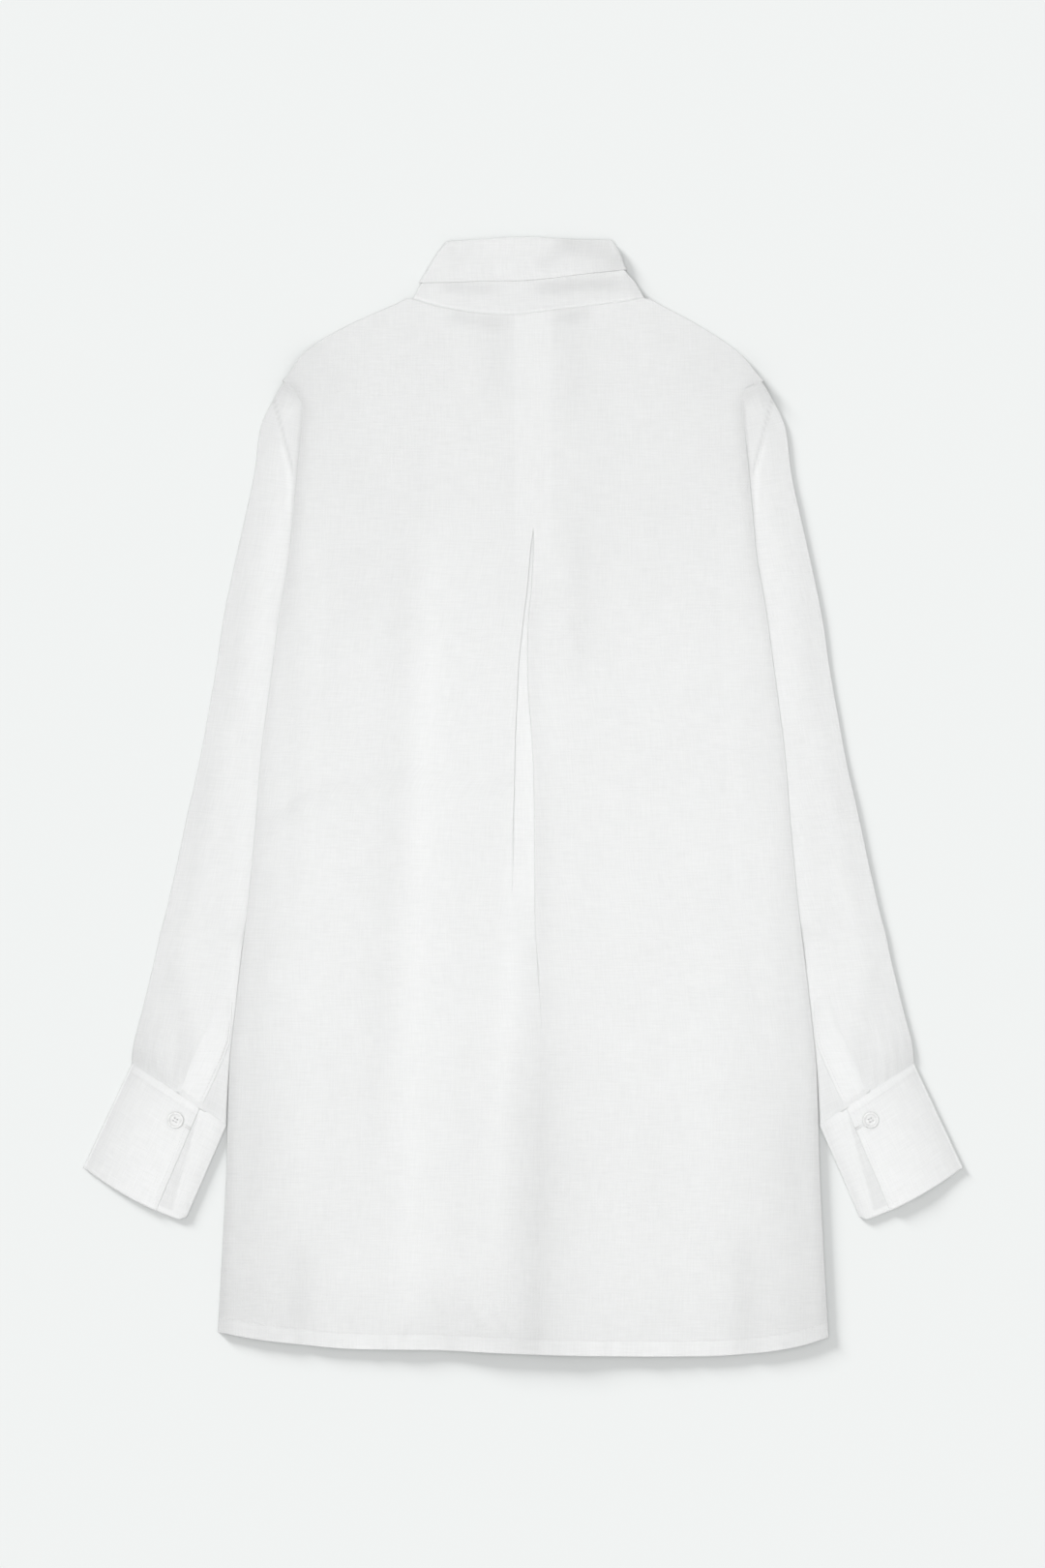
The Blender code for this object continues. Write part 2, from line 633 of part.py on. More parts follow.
def make_leaf(collection):
    columns = ring_columns(0.94)
    radius = DOUBLED_STEP / 2
    rows = []
    for share in (0, 0.5):
        rows.append([(share, 0)] * len(columns))
    for step in range(ARC_STEPS + 1):
        rows.append([(1, pi * step / ARC_STEPS)] * len(columns))
    for share in (1.12, 1.3, 1.65, 2):
        rows.append([(share, pi)] * len(columns))
    placed = []
    ends = (0, len(columns) - 1)
    for row in rows:
        points = []
        for number, (column, (share, angle)) in enumerate(zip(columns, row)):
            roll, edge, lean = leaf_line(column)
            start = neck_seam(column) + STAND_TALL + DOUBLED / 2 + GAP
            crest = roll - DOUBLED / 2
            if share <= 1:
                y = start + (crest - radius - start) * share + radius * sin(angle)
            else:
                y = crest - radius + (edge - crest + radius) * (share - 1)
            outward = radius * (1 - cos(angle))
            leaning = lean * max(0, share - 1)
            if number in ends:
                leaning += LEAF_END_GAP if number == 0 else -LEAF_END_GAP
            points.append(ring_point(column, y, outward, leaning))
        placed.append(points)
    sewn_sheet("collar_leaf", placed, DOUBLED, collection, LINEN)


# Buttons

def make_button(name, x, y, z, face, collection):
    # A turned disc with a raised rim. Face is 1 with the rim up and -1 with the rim down.
    radius, thick = BUTTON_ACROSS / 2, BUTTON_THICK
    mesh = bpy.data.meshes.new(name)
    corners = [(turn.out * radius * mm, 0, turn.up * thick * mm) for turn in BUTTON_PROFILE]
    mesh.from_pydata(corners, [(i, i + 1) for i in range(len(corners) - 1)], [])
    button = place(name, mesh, collection, cloth_material(name, SHELL_WHITE, 0.35))
    turned = button.modifiers.new("Turned", "SCREW")
    turned.steps = turned.render_steps = BUTTON_STEPS
    turned.use_merge_vertices = True
    turned.merge_threshold = MERGE
    button.location = (x * mm, y * mm, (z if face > 0 else z + thick) * mm)
    button.rotation_euler = (0 if face > 0 else pi, 0, 0)


def make_buttons(collection):
    for side, name in ((-1, "button_cuff_left"), (1, "button_cuff_right")):
        x, y, _ = cuff_point(*CUFF_BUTTON, 0, side)
        make_button(name, x, y, DOUBLED + 2 * DOUBLED_STEP + SEWN_GAP, 1, collection)
    for number in range(FRONT_BUTTONS):
        y = LOWEST_BUTTON + BUTTON_SPACING * number
        make_button("button_front_%d" % (number + 1), 0, y, 0, -1, collection)
    neck_y = front_top_line(0) + STAND_TALL / 2
    make_button("button_collar", 0, neck_y, 0, -1, collection)


def main():
    for old in list(bpy.data.objects):
        bpy.data.objects.remove(old, do_unlink=True)
    collection = bpy.data.collections.new("Linen shirt")
    bpy.context.scene.collection.children.link(collection)
    make_back(collection)
    make_stand(collection)
    make_leaf(collection)
    for side in (-1, 1):
        make_front(collection, side)
        make_sleeve(collection, side)
        make_placket(collection, side)
        make_cuff(collection, side)
    make_buttons(collection)


main()
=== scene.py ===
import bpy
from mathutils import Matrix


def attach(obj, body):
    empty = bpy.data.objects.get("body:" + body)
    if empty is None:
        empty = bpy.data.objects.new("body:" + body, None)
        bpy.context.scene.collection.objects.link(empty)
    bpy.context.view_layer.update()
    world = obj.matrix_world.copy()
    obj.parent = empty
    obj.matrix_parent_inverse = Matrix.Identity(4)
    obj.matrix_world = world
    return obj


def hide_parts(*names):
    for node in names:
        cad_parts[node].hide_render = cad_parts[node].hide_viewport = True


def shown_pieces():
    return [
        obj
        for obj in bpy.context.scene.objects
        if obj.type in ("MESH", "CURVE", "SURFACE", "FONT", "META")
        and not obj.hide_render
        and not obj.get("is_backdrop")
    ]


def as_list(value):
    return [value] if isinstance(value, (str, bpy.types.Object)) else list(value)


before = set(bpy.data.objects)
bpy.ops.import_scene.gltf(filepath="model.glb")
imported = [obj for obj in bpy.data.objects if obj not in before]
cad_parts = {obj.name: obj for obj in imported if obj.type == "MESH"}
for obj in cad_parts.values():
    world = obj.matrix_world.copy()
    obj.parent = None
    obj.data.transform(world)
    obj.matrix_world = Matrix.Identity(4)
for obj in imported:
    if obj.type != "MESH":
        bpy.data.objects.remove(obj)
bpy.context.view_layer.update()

from math import cos, hypot, pi, radians, sin

import bpy
import numpy as np
from mathutils import Euler, Vector

mm = 0.001
halves = ((-1, "Left"), (1, "Right"))

# How thick the plies are, and how far a shown ply lies below the middle of the solid's wall
cloth = {"wall": 0.6, "drop": 0.2}
doubledCloth = {"wall": 0.9, "drop": 0.15}      # collar and cuffs, two plies sewn together
# How far apart the middles of two plies lie: of the body, a sleeve, a sewn pair, and beside their own fold
plyStep = 1.4
sleeveStep = 1.6
doubledStep = 1.6
foldStep = 0.9
solidWall = 1.0
solidDoubled = 1.2
arcSteps = 8                # steps round a fold
# Heights of the middles of the plies above the table, and how far a sleeve lifts the body over it
frontHeight = solidWall / 2
frontReturnHeight = frontHeight + plyStep
backReturnHeight = frontReturnHeight + foldStep
backSideHeight = backReturnHeight + foldStep
backMiddleHeight = 4.2
sleeveLift = frontReturnHeight + solidWall / 2 + 0.4
sleeveTent = solidWall + sleeveStep + 0.4

camera = {"centre": (-0.0004, 0.0094), "tall": 1.215, "lens": 150, "sensor": 36}
# A wide ceiling light, a soft overhead one for the cloth, a low one that only the table takes, and the room
light = {
    "room": 0.56,
    "ceiling": {"strength": 0.785, "tilt": 0, "turn": 0, "angle": 60},
    "overhead": {"strength": 1.06, "tilt": 14, "turn": 48, "angle": 30},
    "low": {"strength": 4.2, "tilt": 75.5, "turn": 45, "angle": 14},
}
floor = {"colour": (0.770, 0.786, 0.780), "size": 30}


# Reading tables and easing

def ease(value, start, end):
    # 0 at start, 1 at end, smooth between, and start may lie above end.
    share = np.clip((value - start) / (end - start), 0.0, 1.0)
    return share * share * (3 - 2 * share)


def near(value, width):
    # 1 where the value is 0, falling off softly on both sides.
    return np.exp(-((value / width) ** 2))


def mix(first, second, share):
    return first + (second - first) * share


def wave(value, length, drift, slowLength):
    # An uneven wave, which drifts to and fro over a longer length.
    return np.sin(value / length + drift * np.sin(value / slowLength))


def areas(table, **measures):
    # Adds up a table's rows: an amount, times every measure that the row names. (name,) takes the measure
    # itself, (name, start, end) eases from start to end, and (name, "at", place, width) is a soft line there.
    total = 0.0
    for amount, *factors in table:
        for name, *limits in factors:
            factor = measures[name]
            if len(limits) == 2:
                factor = ease(factor, *limits)
            elif limits:
                factor = near(factor - limits[1], limits[2])
            amount = amount * factor
        total = total + amount
    return total


def smoothRead(table, value, column=1):
    # A table's column, read smoothly where its first column has this value.
    rows = np.asarray(table, float)
    xs, ys = rows[:, 0], rows[:, column]
    count = len(xs)
    before, after = np.maximum(np.arange(count) - 1, 0), np.minimum(np.arange(count) + 1, count - 1)
    slopes = (ys[after] - ys[before]) / (xs[after] - xs[before])
    value = np.clip(value, xs[0], xs[-1])
    at = np.clip(np.searchsorted(xs, value), 1, count - 1)
    span = xs[at] - xs[at - 1]
    share = (value - xs[at - 1]) / span
    rest = 1 - share
    return (
        ys[at - 1] * rest * rest * (1 + 2 * share)
        + ys[at] * share * share * (3 - 2 * share)
        + slopes[at - 1] * span * share * rest * rest
        - slopes[at] * span * rest * share * share
    )


def bands(x, y, table):
    # Soft streaks: (x, y) at one end and the other, sideways bow, amount, half width.
    # A second half width, where there is one, is for the side to the right of the way down.
    total = np.zeros(np.broadcast(x, y).shape)
    for x0, y0, x1, y1, bow, amount, *widths in table:
        alongX, alongY = x1 - x0, y1 - y0
        length = hypot(alongX, alongY)
        along = ((x - x0) * alongX + (y - y0) * alongY) / length ** 2
        across = ((x - x0) * alongY - (y - y0) * alongX) / length
        across = across - bow * np.sin(pi * np.clip(along, 0, 1))
        width = np.where(across > 0, widths[0], widths[-1])
        strength = ease(along, 0.0, 0.25) * ease(along, 1.0, 0.75)
        total = total + amount * strength * near(across, width)
    return total


def halfTurn(x, low, high, outward):
    # A fold between two plies, from the low one to the high one, bulging to outward.
    angle = pi * np.arange(arcSteps + 1) / arcSteps
    middle, radius = (low + high) / 2, (high - low) / 2
    return x + outward * (np.sin(angle) - 1) * radius, middle - np.cos(angle) * radius


# Materials

linen = {
    "colour": (0.813, 0.820, 0.817),
    # long thick threads both ways and a cloudy tone: scale across, scale along, detail, shift
    "upright": (0.85, 0.055, 2.0, 3.1),
    "level": (0.055, 0.85, 2.0, 11.7),
    "cloudy": (0.02, 0.02, 3.0, 23.0),
    "slubRoughness": 0.55,
    "slubColour": 0.07,
    "cloudColour": 0.03,
    "slubDepth": 0.00012,
    "weaveDepth": 0.00006,
    "threadPitch": 0.62,    # millimetres between two threads of the weave
    "finish": {"Roughness": 0.9, "Specular IOR Level": 0.2, "Sheen Weight": 0.12, "Sheen Roughness": 0.5},
}
sewing = {"twist": 1800.0, "dark": 0.70, "light": 0.82, "depth": 0.0001, "roughness": 0.7}
shellLook = {
    "clouds": {"Scale": 260.0, "Detail": 3.0, "Distortion": 1.2},
    # where each of the two colours lies in the clouds
    "colours": ((0.3, (0.68, 0.685, 0.68, 1)), (0.72, (0.80, 0.805, 0.795, 1))),
    "finish": {"Roughness": 0.45, "Coat Weight": 0.12, "Coat Roughness": 0.3},
}


def newMaterial(name):
    # A material, a function that fills its shader's inputs, and one that adds a node.
    material = bpy.data.materials.new(name)
    material.use_nodes = True
    nodes, links = material.node_tree.nodes, material.node_tree.links

    def fill(node, inputs):
        for key, value in inputs.items():
            if isinstance(value, bpy.types.NodeSocket):
                links.new(value, node.inputs[key])
            else:
                node.inputs[key].default_value = value
        return node

    def make(kind, inputs=None, **settings):
        node = nodes.new(kind)
        for key, value in settings.items():
            setattr(node, key, value)
        return fill(node, inputs or {})

    def finish(inputs):
        return fill(nodes["Principled BSDF"], inputs)

    return material, finish, make


def linenMaterial(name):
    # Slubby plain weave: long thick threads both ways, a fine weave, and a tone that each piece carries,
    # which holds painted light and shade as well as the show-through of plies beneath.
    material, finish, make = newMaterial(name)
    grain = make("ShaderNodeAttribute", attribute_name="grain", attribute_type="GEOMETRY").outputs["Vector"]
    tone = make("ShaderNodeAttribute", attribute_name="tone", attribute_type="GEOMETRY").outputs["Fac"]

    def slubs(scaleAcross, scaleAlong, detail, shift):
        moved = make("ShaderNodeMapping", {
            "Vector": grain, "Scale": (scaleAcross, scaleAlong, 1), "Location": (shift, shift, shift)})
        noise = {"Vector": moved.outputs["Vector"], "Scale": 1.0, "Detail": detail}
        noise["Roughness"] = linen["slubRoughness"]
        return make("ShaderNodeTexNoise", noise, noise_dimensions="2D").outputs["Fac"]

    def maths(operation, first, second):
        return make("ShaderNodeMath", {0: first, 1: second}, operation=operation).outputs[0]

    upright, level, cloudy = (slubs(*linen[key]) for key in ("upright", "level", "cloudy"))
    both = maths("ADD", upright, level)
    parts = make("ShaderNodeSeparateXYZ", {0: grain})
    turn = 2 * pi / linen["threadPitch"]
    warp = maths("SINE", maths("MULTIPLY", parts.outputs[0], turn), 0.0)
    weft = maths("SINE", maths("MULTIPLY", parts.outputs[1], turn), 0.0)
    weave = maths("MULTIPLY", warp, weft)

    fleck = maths("MULTIPLY", maths("SUBTRACT", both, 1.0), linen["slubColour"])
    cloud = maths("MULTIPLY", maths("SUBTRACT", cloudy, 0.5), linen["cloudColour"])
    factor = maths("ADD", maths("ADD", tone, 1.0), maths("ADD", fleck, cloud))
    painted = make("ShaderNodeVectorMath", {0: linen["colour"], "Scale": factor}, operation="SCALE")

    slubBump = make("ShaderNodeBump", {"Height": both, "Strength": 1.0, "Distance": linen["slubDepth"]})
    weaveBump = make("ShaderNodeBump", {
        "Height": weave, "Strength": 1.0, "Distance": linen["weaveDepth"], "Normal": slubBump.outputs[0]})
    finish({"Base Color": painted.outputs[0], "Normal": weaveBump.outputs[0], **linen["finish"]})
    return material


def threadMaterial():
    # Twisted sewing thread, a shade darker than the cloth.
    material, finish, make = newMaterial("sewingThread")
    place = make("ShaderNodeTexCoord").outputs["Object"]
    noise = {"Vector": place, "Scale": sewing["twist"], "Detail": 1.0}
    twist = make("ShaderNodeTexNoise", noise).outputs["Fac"]
    grey = make("ShaderNodeMapRange", {"Value": twist, "To Min": sewing["dark"], "To Max": sewing["light"]})
    painted = make("ShaderNodeCombineColor", {number: grey.outputs[0] for number in range(3)})
    bump = make("ShaderNodeBump", {"Height": twist, "Distance": sewing["depth"]})
    finish({"Base Color": painted.outputs[0], "Normal": bump.outputs[0], "Roughness": sewing["roughness"]})
    return material


def shellMaterial():
    # Mother of pearl: cloudy bands, a polished coat.
    material, finish, make = newMaterial("shellButton")
    place = make("ShaderNodeTexCoord").outputs["Object"]
    cloudy = make("ShaderNodeTexNoise", {"Vector": place, **shellLook["clouds"]}).outputs["Fac"]
    ramp = make("ShaderNodeValToRGB", {"Fac": cloudy})
    for element, (position, colour) in zip(ramp.color_ramp.elements, shellLook["colours"]):
        element.position = position
        element.color = colour
    finish({"Base Color": ramp.outputs[0], **shellLook["finish"]})
    return material


linenCloth = linenMaterial("slubLinen")
linenFaced = linenMaterial("slubLinenFaced")
thread = threadMaterial()
shell = shellMaterial()
print("materials: linen, faced linen, thread and shell")


# Making a piece of cloth from rows of points

def newObject(name, data):
    made = bpy.data.objects.new(name, data)
    bpy.context.scene.collection.objects.link(made)
    return made


def dress(piece, slot, *nodes):
    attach(piece, "root")
    if nodes:
        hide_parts(*nodes)
    return piece


def grainOf(points, along):
    # Where each point lay on the flat cloth: across by the length of the row, and along by its own measure.
    steps = np.linalg.norm(np.diff(points, axis=1), axis=2)
    across = np.concatenate([np.zeros((len(points), 1)), np.cumsum(steps, axis=1)], axis=1)
    across -= across[:, [points.shape[1] // 2]]
    return np.stack([across, np.broadcast_to(along, across.shape), np.zeros(across.shape)], axis=2)


def sewSheet(name, node, points, tones, doubled=False, along=None, closedFrom=None):
    # A thin shell on rows of points. along is where each lay on the flat cloth, its y where nothing is given.
    # From row closedFrom on, the last column is the first one again, as round a tube.
    points, tones = np.array(points), np.array(tones)
    plies = doubledCloth if doubled else cloth
    points[:, :, 2] -= plies["drop"]
    grain = grainOf(points, points[:, :, 1] if along is None else along)
    keep = np.ones(points.shape[:2], bool)
    if closedFrom is not None:
        keep[closedFrom:, -1] = False
    index = np.full(keep.shape, -1)
    index[keep] = np.arange(keep.sum())
    if closedFrom is not None:
        index[closedFrom:, -1] = index[closedFrom:, 0]
    faces = np.stack([index[:-1, :-1], index[:-1, 1:], index[1:, 1:], index[1:, :-1]], axis=2).reshape(-1, 4)
    mesh = bpy.data.meshes.new(name)
    mesh.from_pydata((points[keep] * mm).tolist(), [], faces.tolist())
    mesh.attributes.new("tone", "FLOAT", "POINT").data.foreach_set("value", tones[keep].astype(float).ravel())
    mesh.attributes.new("grain", "FLOAT_VECTOR", "POINT").data.foreach_set("vector", grain[keep].ravel())
    mesh.shade_smooth()
    mesh.materials.append(linenFaced if doubled else linenCloth)
    piece = newObject(name, mesh)
    shellWall = piece.modifiers.new("clothWall", "SOLIDIFY")
    shellWall.thickness = plies["wall"] * mm
    shellWall.offset = 0
    shellWall.use_even_offset = False
    return dress(piece, "linen", node)


# The body's outline

outline = {
    # y, side fold edge, tuck line of the side seam
    "sides": [
        (-420, 236.5, 232), (-369, 233.6, 226), (-290, 229.6, 213), (-210, 227, 195), (-152, 221, 181),
        (-85, 213, 165.5), (-20, 206.8, 160), (34, 202.5, 157), (92, 195, 154.5), (144, 188, 152.5),
        (184, 181, 151), (205, 179, 150), (249, 175, 158), (274, 172.6, 163), (300, 170.6, 166.5),
        (309, 174, 170), (316, 179, 174), (322, 186.5, 180),
    ],
    "sideSearch": (140, 240),
    # x, y of the shoulder and back neck seams
    "top": [
        (-200, 312), (-184, 324), (-170, 343), (-141, 362), (-99, 381), (-88, 385.5), (-77, 382),
        (-55, 377), (-34, 374.2), (-6, 373), (19.5, 376), (52.5, 380), (81, 383.5), (96, 385.5),
        (106, 381), (141, 362), (168, 343), (184, 324), (200, 312),
    ],
    "hem": [
        (-237, -415), (-204, -421), (-169, -425), (-135, -428), (-66, -429), (-14, -431.5),
        (45, -433.4), (140, -433.7), (183, -431), (214, -426), (237, -419),
    ],
    "neckLeft": -88, "neckRight": 96, "neckPointY": 386, "frontNeckDrop": 75,
}
neckCentre = (outline["neckLeft"] + outline["neckRight"]) / 2
neckHalf = (outline["neckRight"] - outline["neckLeft"]) / 2


def sideEdge(y):
    return smoothRead(outline["sides"], y, 1)


def sideTuck(y):
    return smoothRead(outline["sides"], y, 2)


def hemLine(x):
    return smoothRead(outline["hem"], x)


def backTopLine(x):
    return smoothRead(outline["top"], x)


def frontTopLine(x):
    share = (x - neckCentre) / neckHalf
    dipped = outline["neckPointY"] - outline["frontNeckDrop"] * (1 - share * share)
    return np.where(np.abs(share) >= 1, backTopLine(x), dipped)


def bodyPoint(x, up, topLine):
    hem = hemLine(x)
    return hem + (topLine(x) - hem) * up


def rowShares(count, fine):
    # Shares from hem to top seam: fine lists exact ones, and even ones fill the rest.
    even = np.linspace(0, 1, count)
    spacing = even[1]
    kept = [share for share in even if min(abs(share - f) for f in fine) > spacing * 0.6]
    return np.array(sorted(kept + list(fine)))


hem = {
    "turn": 12.0,               # width of the turned-up strip
    # how far up the rows of points near the hem lie, and the height that they are shares of
    "rows": (0, 0.8, 2.2, 4.5, 7, 9.3, 10.9, 11.7, 12.4, 13.2, 14.6, 17),
    "tall": 806,
    "relief": [(0.28, ("pastHem", 0.9, -0.9)), (-0.14, ("pastHem", "at", 0, 0.9)),
               (0.16, ("pucker",), ("pastHem", 14, -2))],
    # uneven waves along the hem, in its height and its tone, and what they swell and fade with
    "pucker": (5.3, 1.7, 17), "puckerFade": (23, 0.6),
    "ticks": (2.9, 2.1, 13), "ticksFade": (19, 1.1), "evenTicks": (0.6, 7.3),
}
hemShares = tuple(up / hem["tall"] for up in hem["rows"])


def pastHem(x, y):
    # How far above the hem's stitching a point lies.
    return y - hemLine(x) - hem["turn"]


def hemRelief(x, y):
    # The turned-up hem stands a little proud, dips at its stitching and puckers unevenly.
    length, phase = hem["puckerFade"]
    pucker = wave(x, *hem["pucker"]) * np.sin(x / length + phase)
    return areas(hem["relief"], pastHem=pastHem(x, y), pucker=pucker)


# Back

# Heights of the two fronts where they lap over the buttons, how far out the rise starts, and half the lap
ridge = {"right": 3.0, "left": 4.4, "foot": 56, "overlap": 15}
underlayHeight = ridge["left"] + plyStep + 0.4
ringHeight = 3.0
standBackHeight = ringHeight + doubledStep / 2

back = {
    "rows": 204,
    # distances of the columns near the pleat's fold and near the side
    "nearPleat": (0.12, 0.6, 1.4, 2.6, 4.4, 6.6, 9, 11.2, 12.9, 13.9, 15.6, 18, 21, 24.5),
    "nearSide": (21, 16.5, 12.5, 9, 6, 3.6, 1.6),
    "between": 52,
    "tuckColumns": 13,
    "topRows": (1, 0.9985, 0.996, 0.992, 0.988, 0.983, 0.976),
    # between which distances each part of the back's height goes over into the next one
    "sideFade": (25, 0), "foldFade": (-6, 20), "footOnSleeve": 52, "returnOnSleeve": 18,
    "pleatMiddle": 5, "pleatFade": (74, 24), "neckMiddle": 8, "neckFade": (42, 17),
    "seamFade": (0, 14), "shoulderFade": (62, 86), "neckCloses": 0.976, "shoulderCloses": 0.945,
    "middleFade": (60, 30), "foldedFrom": (-128, -62),
    # pleat: y, left fold edge, right fold edge, depth of the return, degrees that it turns over
    "pleat": [
        (-434, -3, 9, 0.2, 0.4), (-350, -2, 11, 0.2, 0.4), (-235, -1, 14, 0.3, 0.5), (-190, -2, 15, 0.6, 2),
        (-160, -4, 14, 1.2, 16), (-140, -5.5, 12.5, 1.2, 48), (-122, -7, 11, 0.8, 92),
        (-106, -8, 9.8, 0.8, 140), (-92, -8.6, 9.4, 1.4, 174), (-78, -8.8, 9.2, 2.8, 180),
        (-58, -8.6, 9, 5.4, 180), (5, -7, 8.6, 6.3, 180), (48, -6, 6.8, 7.5, 180),
        (78, -4.6, 4.4, 9.4, 180), (103, -3.5, 3.6, 10.8, 180), (134, -0.2, 4.2, 11.8, 180),
        (160, 3.0, 6.6, 12.2, 180), (190, 5.6, 8.2, 13.2, 180), (208, 7.2, 8.7, 14, 180),
        (380, 7.3, 8.7, 14, 180),
    ],
    "pleatRadius": foldStep / 2,
    "pleatClosed": (196, 212),
    "leftOpensSooner": (110, 60, -10),   # millimetres, and between which heights
    "least": {"degrees": 0.2, "depth": 0.1, "radius": 0.04, "apart": 0.05},     # in a closed or flat fold
    # an opening fold: at which degrees it starts and is full, its widest radius and its share of the fall
    "opening": {"start": 150, "full": 100, "widest": 12.0, "share": 0.42},
    # x, y at one end and the other, bow, height, half width
    "folds": [
        (-62, 230, -94, -560, 5, 1.1, 15), (-84, 245, -118, -250, -4, -0.9, 14),
        (-42, 95, -45, -150, 0, -0.55, 9), (-22, -150, -24, -330, 0, 0.6, 9),
        (43, 215, 45, 80, 0, -0.55, 10), (74, 140, 99, -520, 3, 0.9, 20),
        (-172, -360, -173, -470, 0, -0.7, 7), (172, -360, 173, -470, 0, -0.7, 7),
        (128, 60, 148, -300, 0, -0.5, 16), (-150, -190, -163, -400, 3, 0.6, 12),
        (118, 330, 92, 190, 0, 0.5, 14), (-120, 322, -92, 205, 0, 0.5, 14),
        (17, -20, 2, -580, 4, -1.9, 9, 26), (-58, 330, -50, 230, 0, 0.35, 12),
        (-78, -330, -40, -405, 0, 0.45, 5), (-30, -372, 12, -418, 0, -0.4, 4),
        (20, -345, -8, -392, 0, 0.4, 5), (60, -352, 88, -424, 0, 0.35, 6),
        (-128, -352, -120, -440, 0, 0.4, 6), (120, -372, 131, -450, 0, -0.35, 6),
    ],
    # the same for painted highlights and painted shade, mostly along the folds and above the hem
    "streaks": [
        (-60, 330, -90, -520, 5, 0.016, 10), (-64, 290, -88, -520, 3, 0.020, 22),
        (-88, 250, -124, -330, -4, -0.026, 13), (-44, 60, -50, -420, 0, -0.009, 9),
        (0, 60, -26, -400, 0, 0.030, 9), (43, 240, 44, 75, 0, -0.030, 10),
        (19, 60, 4, -640, 3, -0.040, 7, 14), (12, -120, -2, -780, 0, -0.060, 22, 30),
        (-66, 373, -2, 363, 0, -0.062, 6), (18, 367, 56, 375, 0, -0.056, 6),
        (-24, 400, -22, 290, 0, -0.026, 12), (36, 400, 40, 280, 0, -0.026, 12),
        (-172, -320, -173, -530, 0, -0.048, 11), (172, -320, 173, -530, 0, -0.048, 11),
        (-76, -366, -14, -480, 0, -0.028, 24), (-120, -414, 46, -424, 0, -0.030, 9),
        (-72, -386, -60, -404, 0, -0.03, 2.2), (-44, -392, -30, -414, 0, -0.035, 2.4),
        (-26, -396, -10, -418, 0, -0.03, 2.0), (-84, -404, -96, -424, 0, -0.03, 2.4),
        (60, -400, 68, -424, 0, -0.02, 2.6), (-136, -398, -128, -424, 0, -0.02, 3),
        (-196, 60, -214, -380, 0, -0.014, 9), (196, 60, 214, -380, 0, -0.012, 9),
        (-150, 120, -176, -400, 0, 0.014, 15), (120, 60, 150, -380, 0, 0.010, 20),
    ],
    # painted light and shade, and lighter cloth over extra plies; pastHem, pastPleat and pastTuck are
    # distances from those lines
    "areas": [
        # painted shade towards the shoulders, and painted light in the middle of the back
        (-0.022, ("y", 110, 270)), (-0.010, ("y", 290, 380)),
        (0.020, ("y", 170, 60), ("y", -330, -150), ("out", 215, 110)),
        # painted shade at the side fold, in the low corners, along the lower sides and at the shoulders
        (-0.062, ("inside", "at", 0, 4.5), ("onTop",)),
        (-0.044, ("y", -100, -400), ("out", 120, 215)),
        (-0.045, ("inside", 13, 0), ("y", -60, -260), ("onTop",)),
        (-0.024, ("out", "at", 168, 46), ("y", "at", 335, 62)),
        # lighter over the tucked plies and along the closed pleat, where more plies lie beneath
        (0.012, ("pastTuck", -1.6, 1.6), ("y", 235, 190)),
        (0.024, ("x", -6.6, -5.8), ("x", 23.5, 20), ("y", 150, 220)),
        # the pleat's underlay is painted lighter, most of all to the right, which lifts the shade between its
        # folds, and painted shade darkens the cloth right of the pleat
        (0.020, ("underlay",)), (0.030, ("underlay",), ("pastPleat", -7, 0)),
        (-0.030, ("pastPleat", 15, 1), ("pastPleat", -2.5, -1.5), ("y", 190, 150), ("y", -130, -60),
         ("onTop",)),
        # the turned-up hem is lighter, with ticks along it and a dark line at its stitching; painted shade
        # lies on the cloth just above it
        (0.008, ("pastHem", 0.5, -0.5)), (0.013, ("ticks",), ("pastHem", 0.5, -0.5)),
        (-0.016, ("pastHem", "at", 0, 0.8)), (-0.024, ("pastHem", 64, 2), ("pastHem", -0.5, 0.5)),
    ],
    # how wide and how dark the side's shade is
    "sideWide": [(14,), (14, ("y", 200, 0)), (30, ("y", 0, -300))],
    "sideDark": [(0.030,), (0.030, ("y", 60, -300))],
}


def pleatRead(y, column):
    return smoothRead(back["pleat"], y, column)


def pleatTurn(y, side):
    # Degrees turned and depth of the return; the left fold lies open sooner than the right one.
    shift, start, end = back["leftOpensSooner"]
    y = y - np.where(side < 0, shift * ease(y, start, end), 0)
    return np.minimum(pleatRead(y, 4), 180), pleatRead(y, 3)


def pleatDrop(y, side):
    degrees, depth = pleatTurn(y, side)
    turn = np.radians(degrees)
    return 2 * back["pleatRadius"] * (1 - np.cos(turn)) + depth * np.sin(turn)


def tentOver(x, y, foot):
    # How far the sleeve lifts the plies that lie on it.
    inside = smoothRead(sleeveByHeight, y) - np.abs(x)
    return sleeveTent * ease(inside, foot, sleeve["tentTop"]) * ease(y, *sleeve["tentEnds"])


def backHeight(x, y, up):
    inside = sideTuck(y) - np.abs(x)
    height = mix(backMiddleHeight, backSideHeight, ease(inside, *back["sideFade"]))
    height = height + tentOver(x, y, back["footOnSleeve"])
    height = height + bands(x, y, back["folds"]) * ease(inside, *back["foldFade"])
    centre = underlayHeight + pleatDrop(y, np.where(x < 2, -1, 1))
    height = mix(height, centre, ease(np.abs(x - back["pleatMiddle"]), *back["pleatFade"]))
    seam = standBackHeight + 2 * foldStep * ease(np.abs(x - back["neckMiddle"]), *back["neckFade"])
    pastNeck = np.abs(x - neckCentre) - neckHalf
    outside = mix(seam, frontHeight + plyStep, ease(pastNeck, *back["seamFade"]))
    outside = mix(outside, backSideHeight + sleeveTent, ease(pastNeck, *back["shoulderFade"]))
    seam = np.where(pastNeck > 0, outside, seam)
    closes = np.where(pastNeck < 0, back["neckCloses"], back["shoulderCloses"])
    return mix(height, seam, ease(up, closes, 1)) + hemRelief(x, y)


